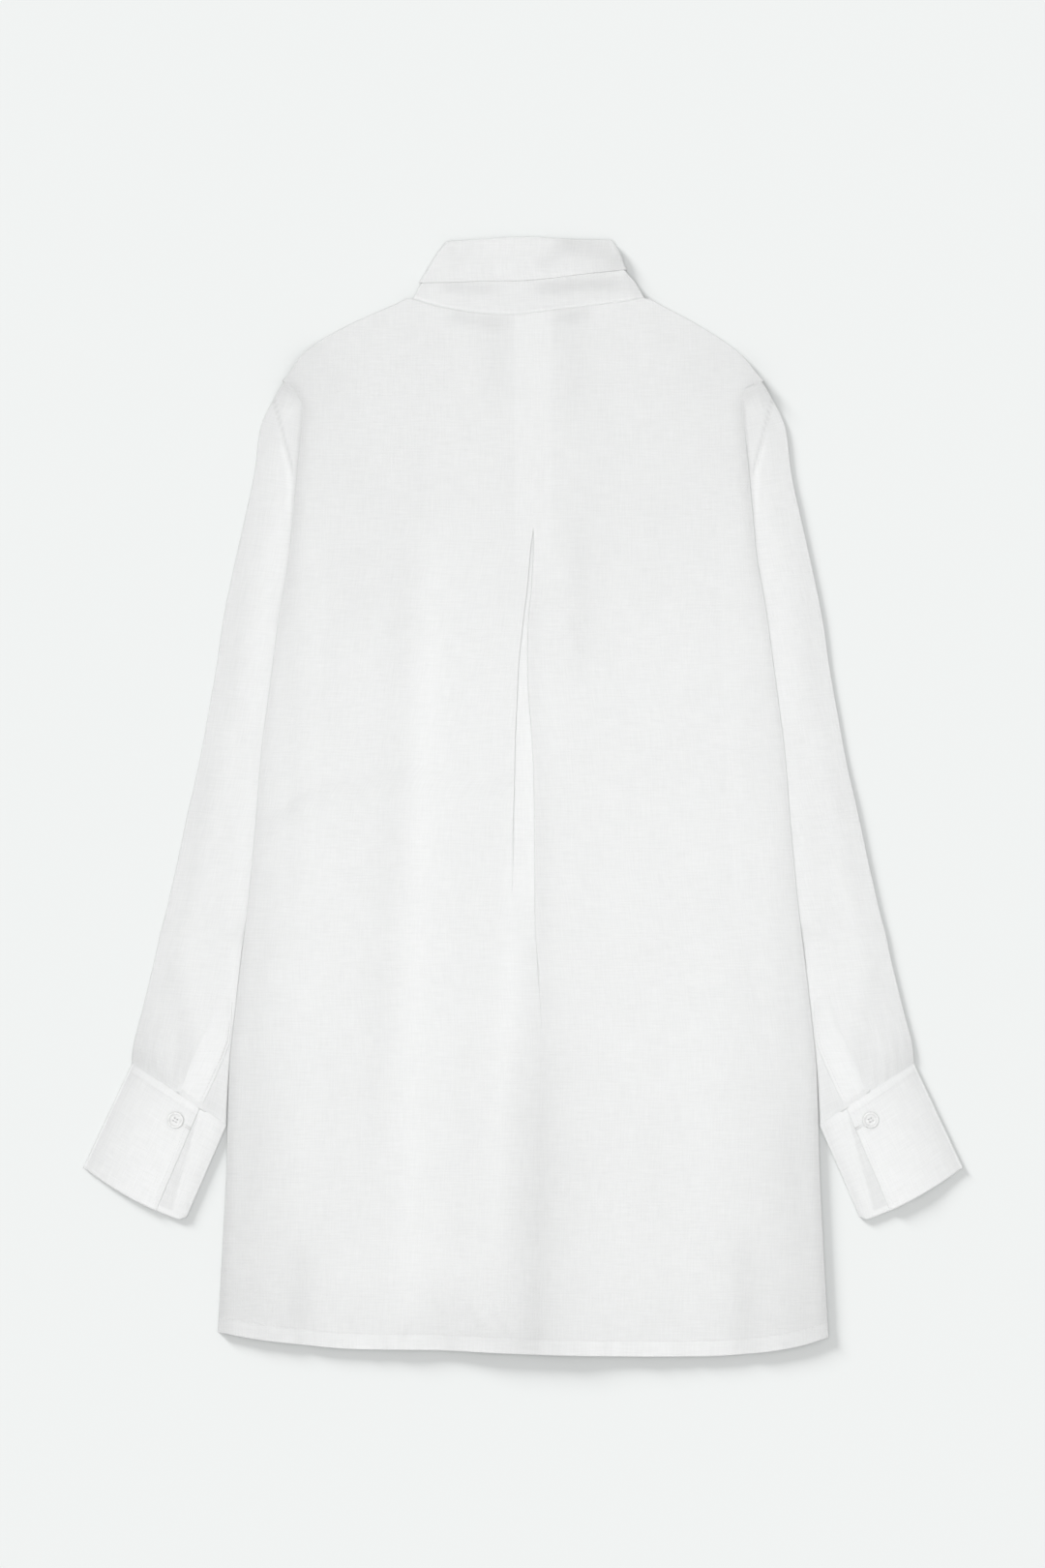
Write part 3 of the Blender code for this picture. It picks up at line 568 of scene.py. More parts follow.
def backTone(x, y, onTop):
    # Lighter where more plies lie under the cloth; painted shade at the folds, the sides and towards the
    # shoulders, and painted highlights beside the folds.
    out = np.abs(x)
    inside = sideEdge(y) - out
    middle, folded = ease(out, *back["middleFade"]), ease(y, *back["foldedFrom"])
    covered = (1 - onTop) * middle
    onTop = np.maximum(onTop, middle * (1 - folded))
    (length, phase), (amount, evenLength) = hem["ticksFade"], hem["evenTicks"]
    ticks = wave(x, *hem["ticks"]) * np.sin(x / length + phase) + amount * np.sin(x / evenLength)
    tone = areas(back["areas"], x=x, y=y, out=out, inside=inside, onTop=onTop, pastTuck=out - sideTuck(y),
                 underlay=covered * folded, pastPleat=x - pleatRead(y, 2), pastHem=pastHem(x, y), ticks=ticks)
    wide, dark = areas(back["sideWide"], y=y), areas(back["sideDark"], y=y)
    tone = tone - dark * ease(inside, wide, 2) * onTop
    return tone + bands(x, y, back["streaks"]) * np.maximum(onTop, covered * (1 - folded))


def edgePlace(up, side, topLine):
    # How far out a row of the body meets its folded side edge, and where up the body that is.
    low, high = outline["sideSearch"]
    for _ in range(26):
        x = (low + high) / 2
        y = float(bodyPoint(side * x, up, topLine))
        if x < float(sideEdge(y)):
            low = x
        else:
            high = x
    return x, y


def sideReturn(up, side, topLine, returnHeight, count):
    # The ply that is tucked in at one side, from the side seam out to the fold.
    edge, y = edgePlace(up, side, topLine)
    tuck = float(sideTuck(y))
    x = side * (tuck + (edge - 1.5 - tuck) * np.linspace(0, 1, count))
    return edge, x, returnHeight(x, bodyPoint(x, up, topLine))


def backTopColumns(edge, start):
    # Columns of the top ply from the side fold in to the pleat's fold, both as distances.
    near = np.array(back["nearPleat"])
    far = np.array(back["nearSide"])
    wide = edge - start
    middle = np.linspace(far[0], wide - near[-1], back["between"] + 2)[1:-1]
    return np.concatenate([far[::-1], middle, wide - near[::-1]])


def walkFold(x, z, side, path):
    # Follows a turning strip: (degrees to turn, radius, straight length after it), heading down from flat.
    xs, zs, heading = [x], [z], 0.0
    for turn, radius, straight in path:
        for _ in range(arcSteps // 2):
            step = turn / (arcSteps // 2)
            chord = 2 * radius * sin(abs(step) / 2)
            x -= side * cos(heading + step / 2) * chord
            z -= sin(heading + step / 2) * chord
            heading += step
            xs.append(x)
            zs.append(z)
        x -= side * cos(heading) * straight
        z -= sin(heading) * straight
        xs.append(x)
        zs.append(z)
    return np.array(xs), np.array(zs)


def pleatSide(up, side):
    # Over one fold edge, back under it and on to the underlay.
    y = float(bodyPoint(back["pleatMiddle"], up, backTopLine))
    closed = float(ease(y, *back["pleatClosed"]))
    degrees, depth = (float(value) for value in pleatTurn(y, side))
    radius, opening, least = back["pleatRadius"], back["opening"], back["least"]
    turn, depth = radians(max(least["degrees"], degrees)), max(least["depth"], depth)
    start = radians(opening["start"])
    if turn < start:
        # an opening fold is wide and round, and falls as far as a tight one would
        fall = float(pleatDrop(y, side))
        widest = min(opening["widest"], max(radius, opening["share"] * fall / (1 - cos(turn))))
        radius = mix(radius, widest, float(ease(turn, start, radians(opening["full"]))))
        depth = max(least["apart"], (fall - 2 * radius * (1 - cos(turn))) / sin(turn))
    tight = mix(radius, least["radius"], closed)
    drop = 2 * (radius - tight)
    edge = float(pleatRead(y, 2 if side > 0 else 1))
    edge = mix(edge, back["neckMiddle"] + side * least["apart"], closed)
    startX = edge + side * tight * sin(min(turn, pi / 2))
    startZ = float(backHeight(edge, y, up))
    half = turn / 2
    path = [(half, tight, drop), (half, tight, depth), (-half, tight, drop), (-half, tight, least["depth"])]
    return walkFold(startX, startZ, side, path)


def backHalf(up, side):
    def returnHeight(x, y):
        return backReturnHeight + tentOver(x, y, back["returnOnSleeve"])

    foldX, foldZ = pleatSide(up, side)
    edge, x, z = sideReturn(up, side, backTopLine, returnHeight, back["tuckColumns"])
    edgeY = bodyPoint(side * edge, up, backTopLine)
    turnX, turnZ = halfTurn(side * edge, z[-1], float(backHeight(side * edge, edgeY, up)), side)
    topX = side * (edge - backTopColumns(edge, side * foldX[0]))
    topZ = backHeight(topX, bodyPoint(topX, up, backTopLine), up)
    xs = np.concatenate([x[:-1], turnX, topX, foldX])
    zs = np.concatenate([z[:-1], turnZ, topZ, foldZ])
    onTop = np.zeros(len(xs))
    topStart, topEnd = len(x) - 1 + arcSteps // 2, len(x) + arcSteps + len(topX) + arcSteps // 2
    onTop[topStart:topEnd] = 1
    return xs, zs, onTop


def makeBack():
    fine = hemShares + back["topRows"]
    points, tones = [], []
    for up in rowShares(back["rows"] - len(fine) // 2, fine):
        leftX, leftZ, leftTop = backHalf(up, -1)
        rightX, rightZ, rightTop = backHalf(up, 1)
        x, z = np.concatenate([leftX, rightX[::-1]]), np.concatenate([leftZ, rightZ[::-1]])
        y = bodyPoint(x, up, backTopLine)
        points.append(np.stack([x, y, z], axis=1))
        tones.append(backTone(x, y, np.concatenate([leftTop, rightTop[::-1]])))
    return sewSheet("backPanel", "back", points, tones)


# Fronts

front = {
    "rows": 132, "columns": 62, "tuckColumns": 10,
    "topRows": (1, 0.996, 0.99),
    "nearSide": (1.6, 4, 7.5, 12, 17), "nearLap": (2.5, 5, 8, 11, 13.8),
    "leafRoom": 1.7,            # how far the collar leaf lifts a front, and between which y and x
    "overLeaf": ((268, 292), (102, 82)),
    "lapRoom": 3, "foldFade": (-4, 16),
    "areas": [(-0.02,), (-0.035, ("pastHem", "at", 0, 0.8))],
    # soft rises where the cloth doesn't lie quite down: ends, bow, height, half width
    "folds": [
        (150, 240, 128, -60, 3, 0.42, 12), (98, 150, 112, -300, -3, 0.36, 14),
        (160, -120, 186, -380, 2, 0.40, 10), (70, 60, 82, -220, 0, 0.30, 9),
        (128, -180, 140, -420, 0, 0.34, 9), (92, -330, 128, -400, 0, 0.3, 5),
    ],
}


def frontSurface(x, y, side):
    out = np.abs(x)
    over = (ridge["right"] if side > 0 else ridge["left"]) - frontHeight
    overButtons = over * ease(out, ridge["foot"], ridge["overlap"] + front["lapRoom"])
    leafY, leafX = front["overLeaf"]
    overLeaf = front["leafRoom"] * ease(y, *leafY) * ease(out, *leafX)
    rise = bands(out, y, front["folds"]) * ease(sideTuck(y) - out, *front["foldFade"])
    return frontHeight + np.maximum(overButtons, overLeaf) + rise


def frontRow(up, side):
    def returnHeight(x, y):
        return frontReturnHeight + 0 * x

    edge, x, z = sideReturn(up, side, frontTopLine, returnHeight, front["tuckColumns"])
    turnX, turnZ = halfTurn(side * edge, frontHeight, frontReturnHeight, side)
    nearSide, nearLap = np.array(front["nearSide"]), np.array((*front["nearLap"], ridge["overlap"]))
    even = np.linspace(edge - nearSide[-1], 0, front["columns"])
    flatX = side * np.concatenate([edge - nearSide[:-1], even, -nearLap])
    flatZ = frontSurface(flatX, bodyPoint(flatX, up, frontTopLine), side)
    return np.concatenate([x[:-1], turnX[::-1], flatX]), np.concatenate([z[:-1], turnZ[::-1], flatZ])


def makeFront(side, label):
    points, tones = [], []
    for up in rowShares(front["rows"], hemShares + front["topRows"]):
        x, z = frontRow(up, side)
        y = bodyPoint(x, up, frontTopLine)
        points.append(np.stack([x, y, z], axis=1))
        tones.append(areas(front["areas"], pastHem=pastHem(x, y)))
    return sewSheet("front" + label, "front_" + label.lower(), points, tones)


# Sleeves

sleeve = {
    "rows": 150, "armpitRow": 4,
    "fineTo": 14, "fineRows": 96,       # how far down the outline the rows lie close together
    "upperShares": 60, "underShares": 22,
    # outer fold x, y and inner edge x, y, from the shoulder to the cuff seam
    "outline": [
        (184, 322, 172, 316), (192, 309, 163, 299), (203, 286, 161, 275), (208, 249, 156, 240),
        (216, 212, 150.5, 205), (224.5, 174, 158, 168), (232, 137, 166, 131), (237.5, 99, 174, 94),
        (244, 62, 182, 58), (251, 24, 190, 20), (259.5, -13, 198, -17), (267.5, -51, 206.5, -53),
        (276, -88, 212.6, -89), (281, -107, 215.9, -110), (285, -126, 218.7, -130), (294, -163, 223.2, -170),
        (301.5, -192, 227.8, -212), (303.2, -208.4, 230.4, -255.5),
    ],
    "tentTop": 9, "tentEnds": (-140, -100),
    # where it lies on the body's fronts, and how much higher its head lies
    "onBody": [(1, ("pastBody", 30, 5), ("y", -118, -92))],
    "head": [(1.6, ("y", 262, 290), ("pastBody", 24, 3))],
    # how its upper layer climbs on to the cuff's underlap, and dips under the edge of the cuff's flap
    "overCuff": [(doubledStep, ("climbed",), ("across", 0.84, 0.70), ("above", 26, 1)),
                 (-0.5, ("above", 3.5, -0.5))],
    # y and x of the armhole seam, and its dip
    "armhole": [(244, 178), (253, 178.6), (274, 184), (290, 188), (307, 193), (314, 194)],
    "armholeDip": [(-0.4, ("armhole", "at", 0, 0.8), ("y", 240, 256))],
    # gathers into the cuff: share across from the outer fold, height, half width in mm, length in mm
    "gathers": [
        (0.05, 0.30, 1.8, 84), (0.11, -0.26, 1.9, 60), (0.17, 0.34, 2.2, 120), (0.24, -0.30, 2.2, 78),
        (0.31, 0.34, 2.3, 150), (0.38, -0.26, 2.2, 60), (0.44, 0.30, 2.2, 104), (0.51, -0.30, 2.2, 70),
        (0.57, 0.26, 2.0, 60), (0.64, 0.24, 2.0, 48),
    ],
    # long soft folds: ends, bow, height, half width
    "folds": [
        (204, 262, 226, 96, 3, 0.5, 8), (222, 150, 252, -60, -3, -0.45, 9), (246, 40, 276, -150, 3, 0.5, 9),
        (212, 70, 232, -80, 0, -0.4, 8), (262, -90, 288, -208, 0, -0.4, 7), (236, -60, 252, -190, 2, 0.4, 6),
    ],
    # painted highlights and painted shade along the folds: ends, bow, amount, half width
    "streaks": [
        (213, 292, 232, 40, 3, -0.018, 8), (186, 250, 214, 20, 2, 0.024, 9),
        (240, 60, 262, -110, 0, -0.016, 8),
        (206, 40, 226, -110, 0, 0.022, 8), (272, -120, 256, -236, 0, -0.046, 9),
        (248, -60, 268, -190, 0, 0.014, 9), (292, -150, 298, -205, 0, -0.016, 6),
        (228, -90, 258, -236, 0, 0.010, 13), (221, -102, 234, -222, 0, 0.030, 5),
    ],
    # painted light and shade and other tones; fromFold, armhole, pastBody, pastSlit and aboveCuff are
    # distances from lines
    "areas": [
        (-0.008,), (0.012, ("across",)), (0.010, ("rightSide",)),
        # painted shade along the outer fold
        (-0.018, ("fromFold", "at", 0, 4)), (-0.036, ("fromFold", 27, 9)),
        (-0.11, ("armhole", "at", 0, 1), ("y", 242, 258)),
        (0.055, ("armhole", "at", 3.2, 2), ("y", 282, 262), ("y", 205, 236)),
        # painted shade by the body at the shoulder and towards the sleeve's head, and a painted shadow line
        # beside the body's edge
        (-0.040, ("pastBody", 12, 0), ("y", 240, 300)), (-0.022, ("y", 230, 290)), (-0.050, ("y", 296, 314)),
        (-0.100, ("pastBody", "at", 0.6, 1.5), ("y", 60, 240), ("y", 306, 296)),
        (0.024, ("aboveCuff", 5, 0)), (-0.030, ("pastSlit", 0.5, -0.5), ("y", -150, -200)),
    ],
    "gatherFull": 0.15,         # share of its length from the cuff where a gather is full
    "gatherSpan": 78,           # width over which the gathers' shares are spread
    "flatWide": 66, "rightStreaks": 0.85, "underTone": -0.03,
}
# y and x of the sleeve's inner edge as far as it lifts the body
sleeveByHeight = [(row[3], row[2] + (6 if row[3] > 290 else 3 if row[3] > 260 else 0))
                  for row in sleeve["outline"][::-1]]


def sleeveFloor(x, y):
    at = dict(pastBody=np.abs(x) - sideEdge(y), y=y)
    return sleeveLift * areas(sleeve["onBody"], **at) + areas(sleeve["head"], **at)


def pastArmhole(x, y):
    # How far outside the armhole seam a point lies.
    return np.abs(x) - smoothRead(sleeve["armhole"], y)


def sleeveGathers(across, toSeam):
    # Ridges and dips of the cloth drawn in to the cuff, each of its own length.
    total = np.zeros(np.broadcast(across, toSeam).shape)
    for share, height, width, length in sleeve["gathers"]:
        drift = 0.02 * np.sin(toSeam / 31 + share * 9)
        strength = ease(toSeam, length, length * sleeve["gatherFull"])
        total = total + height * strength * near((across - share - drift) * sleeve["gatherSpan"], width)
    return total


def overCuff(x, y):
    # How much higher the sleeve's upper layer lies at the cuff.
    (outerX, outerY), (innerX, innerY) = cuff["outerTop"], cuff["innerTop"]
    wide = hypot(innerX - outerX, innerY - outerY)
    wayX, wayY = (innerX - outerX) / wide, (innerY - outerY) / wide
    fromX, fromY = np.abs(x) - outerX, y - outerY
    across = (fromX * wayX + fromY * wayY) / wide
    above = fromY * -wayX + fromX * wayY
    climbed = ease(across, *cuff["flapRise"])
    return areas(sleeve["overCuff"], climbed=climbed, across=across, above=above)


def sleeveOutline(row):
    steps = [(number,) + values for number, values in enumerate(sleeve["outline"])]
    return [float(smoothRead(steps, row, column)) for column in (1, 2, 3, 4)]


def sleeveSurface(x, y, upper, across=None, toSeam=None):
    height = sleeveFloor(x, y) + solidWall / 2
    if upper:
        height = height + sleeveStep + bands(np.abs(x), y, sleeve["folds"])
        height = height + areas(sleeve["armholeDip"], armhole=pastArmhole(x, y), y=y)
        if across is not None:
            height = height + sleeveGathers(across, toSeam) + overCuff(x, y)
    return height


def sleeveRing(row, openEnd):
    outerX, outerY, innerX, innerY = sleeveOutline(row)
    radius = sleeveStep / 2
    outer, inner = np.array((outerX, outerY)), np.array((innerX, innerY))
    wide = np.linalg.norm(outer - inner)
    alongRow = (outer - inner) / wide
    first, last = inner + alongRow * radius, outer - alongRow * radius
    end = np.array(sleeveOutline(len(sleeve["outline"]) - 1))
    seamMiddle = (end[:2] + end[2:]) / 2

    def flatRun(shares, upper):
        shares = np.asarray(shares, float)
        places = first + (last - first) * shares[:, None]
        toSeam = np.hypot(*((outer + inner) / 2 - seamMiddle)) * np.ones(len(shares))
        z = sleeveSurface(places[:, 0], places[:, 1], upper, 1 - shares, toSeam)
        return np.column_stack([places, z, 1 - shares, toSeam, np.full(len(shares), float(upper))])

    def fold(centre, way, fromZ, toZ):
        angle = pi * np.arange(1, arcSteps) / arcSteps
        middle, half = (fromZ + toZ) / 2, (fromZ - toZ) / 2
        places = centre + alongRow * way * np.sin(angle)[:, None] * radius
        z = middle + np.cos(angle) * half
        across = np.full(len(angle), 0.0 if way > 0 else 1.0)
        return np.column_stack([places, z, across, np.zeros(len(angle)), np.ones(len(angle))])

    even = np.linspace(0, 1, sleeve["upperShares"])
    under = np.linspace(1, 0, sleeve["underShares"])
    upper = flatRun(even, True)
    lower = flatRun(under[:-1], False)
    if openEnd:
        closing = flatRun(np.linspace(under[-2], 0, arcSteps + 2)[1:], False)
    else:
        bottom = flatRun((0,), False)
        closing = np.vstack([bottom, fold(first, -1, bottom[0, 2], upper[0, 2]), upper[:1]])
    return np.vstack([upper, fold(last, 1, upper[-1, 2], lower[0, 2]), lower, closing])


def sleeveTone(x, y, across, isUpper, side):
    # Painted shade along the outer fold, towards the head and beside the body, and painted highlights and
    # shade from the streaks; the lower layer is a little darker.
    out = np.abs(x)
    aboveCuff = y - cuff["innerTop"][1] - (out - cuff["innerTop"][0]) * cuffSeamSlope
    fromFold = across * sleeve["flatWide"]
    tone = areas(sleeve["areas"], y=y, across=across, rightSide=float(side > 0), fromFold=fromFold,
                 armhole=pastArmhole(x, y), pastBody=out - sideEdge(y), aboveCuff=aboveCuff,
                 pastSlit=out - smoothRead(placket["outline"], y))
    tone = tone + bands(out, y, sleeve["streaks"]) * (1.0 if side < 0 else sleeve["rightStreaks"])
    return mix(sleeve["underTone"], tone, isUpper)


def makeSleeve(side, label):
    fineTo, last = sleeve["fineTo"], len(sleeve["outline"]) - 1
    fine = np.linspace(0, fineTo, sleeve["fineRows"])[:-1]
    rest = np.linspace(fineTo, last, sleeve["rows"] - len(fine))
    rows = np.array(sorted({*fine, *rest, float(sleeve["armpitRow"])}))
    closedFrom = int(np.searchsorted(rows, sleeve["armpitRow"]))
    rings = np.array([sleeveRing(row, number < closedFrom) for number, row in enumerate(rows)])
    points = rings[:, :, :3] * (side, 1, 1)
    tones = sleeveTone(points[:, :, 0], points[:, :, 1], rings[:, :, 3], rings[:, :, 5], side)
    return sewSheet("sleeve" + label, "sleeve_" + label.lower(), points, tones,
                    along=rings[:, :1, 1], closedFrom=closedFrom)


# Sleeve plackets

placket = {
    # y and x of the edge beside the slit, width, from the cuff up
    "outline": [(-240.5, 249, 22), (-224, 241, 23), (-196, 229, 22.5), (-185, 226.5, 21), (-160, 225, 18),
                (-132, 222, 12), (-116, 221, 9)],
    "foot": -242, "top": -116, "rows": 60, "columns": 26,
    "fineShares": (0.03, 0.08, 0.92, 0.97),
    # how high it lies on the sleeve, how deep its far edge and top end are sunk, over what width, and its
    # height at the cuff
    "rise": 0.55, "sunk": 0.6, "edgeSoft": 8.0, "atCuff": -0.15,
    "comesUp": (-120, -195), "meetsCuff": (-235, -241), "ripple": (7, 2.2, 23),
    "relief": [(-0.25, ("fromSlit", "at", 0, 1.4), ("y", -150, -190)),
               (0.10, ("ripple",), ("share", 1, 0), ("y", -150, -190))],
    "areas": [(-0.018,), (0.030, ("toFar", 1, 9)), (0.036, ("y", -145, -205), ("toFar", 1, 9)),
              (-0.012, ("share", 0.35, 0), ("toFar", 1, 9))],
}


def placketPoint(share, y, side):
    # share 0 at the slit edge and 1 at the other, y that of the slit edge.
    wide = smoothRead(placket["outline"], y, 2)
    px, py = smoothRead(placket["outline"], y) + wide * share, y + cuffSeamSlope * wide * share
    risen = ease(y, *placket["comesUp"]) * ease((1 - share) * wide, 0, placket["edgeSoft"])
    rise = mix(-placket["sunk"], placket["rise"], risen)
    rise = mix(rise, placket["atCuff"], ease(y, *placket["meetsCuff"]))
    ripple = wave(y, *placket["ripple"])
    rise = rise + areas(placket["relief"], fromSlit=share * wide, ripple=ripple, share=share, y=y)
    return side * px, py, sleeveSurface(px, py, True) + overCuff(px, py) + rise


def makePlacket(side, label):
    y = np.linspace(placket["foot"], placket["top"], placket["rows"])[:, None]
    share = np.sort(np.concatenate([np.linspace(0, 1, placket["columns"]), placket["fineShares"]]))
    toFar = (1 - share) * smoothRead(placket["outline"], y, 2)
    tones = areas(placket["areas"], toFar=toFar, y=y, share=share)
    points = np.stack(placketPoint(share, y, side), axis=2)
    return sewSheet("placket" + label, "placket_" + label.lower(), points, tones)


# Cuffs

cuff = {
    "outerTop": (302.6, -207.2), "innerTop": (229.8, -254.3),
    "innerFoot": (262.5, -329.5), "outerFoot": (340.5, -288),
    "bulge": 4, "wide": 87, "tall": 88, "button": (0.56, 0.21),
    "flap": 0.72, "underlap": 0.47,     # shares across where each end lies
    "flapRise": (0.02, 0.46),           # shares across between which the flap climbs over the other end
    "wedge": (0.726, 0.862),            # share across of the wedge's inner edge, at the seam and at the foot
    "flapColumns": 70, "underColumns": 30, "overColumns": 34, "rows": 56,
    "fineRows": (0.004, 0.01, 0.07, 0.08, 0.09, 0.94, 0.95, 0.985),
    "stitchDown": 6.6,
    "corner": (0.045, 0.93, 1.0),       # how far its inner corner is rounded, and between which shares across
    "folds": [(0.30, 0.9, 0.36, 0.3, 0.0, 0.20, 0.05), (0.55, 0.95, 0.62, 0.45, 0.0, -0.18, 0.05)],
    # relief and tones, with painted shade towards the folds; across and down are shares, fromTop, toFoot and
    # toFlapEdge millimetres
    "relief": [(-0.30, ("toFoot", "at", 0, 1.4)), (-0.26, ("fromTop", 2.4, 0)),
               (-0.14, ("fromTop", "at", 6.6, 0.9)),
               (-1.0, ("onFlap",), ("toFlapEdge", 5, 0)), (1.0, ("onFlap",), ("swell",))],
    # on the flap: painted shade towards the outer fold, lighter towards its edge and just below the seam, and
    # a dark line at the stitching
    "flapAreas": [(0.036,), (-0.060, ("across", "at", 0, 0.09)), (-0.062, ("across", 0.50, 0.06)),
                  (0.016, ("across", 0.45, 0.70)), (-0.010, ("down", 0.30, 0.12)),
                  (0.022, ("down", 0.075, 0.045)), (-0.016, ("fromTop", "at", 6.6, 1.2))],
    # on the underlap: painted shade towards the inner fold, a dark wedge beside the flap's edge, and lighter
    # near the seam
    "lapAreas": [(0.030,), (-0.065, ("across", 0.88, 0.995)),
                 (-0.078, ("pastWedge", 0.006, -0.006), ("down", 0.955, 0.935), ("down", 0.04, 0.14)),
                 (0.02, ("down", 0.13, 0.05), ("across", 0.88, 0.82))],
    "hiddenTone": -0.02,
}
# how the seam between sleeve and cuff climbs outwards
cuffSeamSlope = (cuff["outerTop"][1] - cuff["innerTop"][1]) / (cuff["outerTop"][0] - cuff["innerTop"][0])


def cuffPlace(across, down, side):
    topX, topY = (mix(*ends, across) for ends in zip(cuff["outerTop"], cuff["innerTop"]))
    footX, footY = (mix(*ends, across) for ends in zip(cuff["outerFoot"], cuff["innerFoot"]))
    rounded, start, end = cuff["corner"]
    reach = down - rounded * ease(across, start, end) ** 2 * down ** 6
    y = mix(topY, footY, reach) - cuff["bulge"] * 4 * across * (1 - across) * down
    return side * mix(topX, footX, reach), y


def cuffSection():
    # Columns from the underlap's end, round the inner fold, under, round the outer fold, to the flap's edge.
    radius = doubledStep / 2
    under, over = solidDoubled / 2, solidDoubled / 2 + doubledStep
    end = radius / cuff["wide"]
    angle = pi * np.arange(arcSteps + 1) / arcSteps
    lap = np.linspace(cuff["underlap"], 1 - end, cuff["overColumns"])[:-1]
    below = np.linspace(1 - end, end, cuff["underColumns"])[1:-1]
    flap = np.linspace(end, cuff["flap"], cuff["flapColumns"])[1:]
    across = [lap, 1 - end + end * np.sin(angle), below, end - end * np.sin(angle), flap]
    rounded = radius * np.cos(angle)
    height = [over + 0 * lap, under + radius + rounded, under + 0 * below, under + radius - rounded,
              over + doubledStep * ease(flap, *cuff["flapRise"])]
    part = np.concatenate([np.full(len(shares), number) for number, shares in enumerate(across)])
    return np.concatenate(across), np.concatenate(height), part == 0, part == 4


def makeCuff(side, label):
    across, height, onLap, onFlap = cuffSection()
    down = np.array(sorted({*np.linspace(0, 1, cuff["rows"]), *cuff["fineRows"]}))[:, None]
    x, y = cuffPlace(across, down, side)
    at = dict(
        across=across, down=down, onFlap=onFlap, swell=bands(across, down, cuff["folds"]),
        fromTop=down * cuff["tall"], toFoot=(1 - down) * cuff["tall"],
        toFlapEdge=(cuff["flap"] - across) * cuff["wide"], pastWedge=across - mix(*cuff["wedge"], down))
    z = height + areas(cuff["relief"], **at) * (onFlap | onLap)
    tones = np.where(onFlap, areas(cuff["flapAreas"], **at), cuff["hiddenTone"])
    tones = np.where(onLap, areas(cuff["lapAreas"], **at), tones)
    return sewSheet("cuff" + label, "cuff_" + label.lower(), np.stack([x, y, z], axis=2), tones, True,
                    along=down * cuff["tall"])


# Collar: a flattened ring round the neck, its front half under its back half

collar = {
    # y, left and right edge; then x and y of the leaf's fold and of its free edge
    "sides": [(385, -87, 96), (398, -80, 88.5), (408, -74, 80), (421, -66, 75), (427, -61, 71.5),
              (434, -55, 66)],
    "roll": [(-87, 430), (-41, 432), (-19, 433.2), (15, 433), (39, 432), (96, 431)],
    "leafEdge": [(-87, 397.5), (-55, 398), (-34, 399), (-5, 399), (24, 401), (52.5, 404), (96, 407.5)],
    "standTall": 34, "leafPointY": 296, "leafLean": 42, "sideRoom": 1.35, "sideInset": 2.2,
    "backColumns": 64, "frontColumns": 26, "standSteps": 16,
    "frontStart": 0.06, "frontEnd": 0.94, "lapEnd": 1.13, "backEnd": 0.97,
    # how far the neck seam lies above the body's edge; then how the front half lies: its fold's height over
    # the stand, where the points and their lean come in, and where the stand's ends lift
    "seamUp": 0.5, "frontSeamUp": 0.6, "frontRoll": (5.5, 8), "pointReach": (0, 0.8), "leanReach": (0.3, 1),
    "endLift": (0.5, 0.2), "leafGap": 0.4, "leafEndInset": 1.2,
    # shares up the stand; the leaf's from its sewn edge, 1 where it folds, to 2 at its free edge
    "standFoot": (-0.045, -0.03, -0.012, 0.006, 0.024, 0.042, 0.064),
    "leafRise": (0, 0.25, 0.5, 0.75),
    "leafFall": (1.04, 1.08, 1.12, 1.2, 1.3, 1.42, 1.55, 1.7, 1.84, 1.93, 1.97, 1.99, 2),
    "standRelief": [(0.50, ("tall", "at", 0.9, 1.1)), (-0.75, ("tall", 0.6, -1.5)),
                    (2 * foldStep, ("offMiddle", 42, 17), ("tall", 7, -1))],
    # on the stand: a little darker overall, with a painted highlight along its foot at the neck seam
    "standAreas": [(-0.030,), (0.040, ("tall", "at", 0.6, 1.1))],
    "leafRelief": [(-0.6, ("aboveEdge", 9, 0))],
    # on the leaf: a little darker overall, with painted shade along its roll
    "leafAreas": [(-0.020,), (-0.03, ("belowRoll", "at", 0, 2.2))],
    # painted shade and a little painted light on the leaf: x, y at each end, bow, amount, half width
    "leafStreaks": [
        (22, 433, 92, 411, 0, -0.092, 11), (-60, 430, -46, 408, 0, -0.026, 9),
        (8, 404, 40, 434, 0, -0.050, 8),
        (40, 404, 90, 408, 0, -0.030, 7), (-98, 404, -64, 440, 0, -0.024, 5),
        (-40, 426, 10, 429, 0, 0.012, 8), (60, 398, 88, 418, 0, -0.02, 8), (-30, 404, 40, 404, 0, 0.010, 6),
    ],
    # painted shade on the stand, darkest as a painted shadow under the leaf's edge, and a little painted
    # light
    "standStreaks": [
        (0, 393, 88, 398, 0, -0.100, 6), (-70, 395, -12, 392, 0, -0.060, 5), (80, 410, 92, 380, 0, -0.08, 5),
        (10, 384, 96, 392, 0, -0.016, 9),
        (-80, 388, -52, 382, 0, 0.016, 6), (20, 384, 80, 388, 0, 0.010, 5),
    ],
    "leafFolds": [(-60, 400, -30, 432, 0, 0.3, 9), (20, 402, 46, 432, 0, -0.3, 10),
                  (60, 404, 70, 430, 0, 0.35, 8)],
}


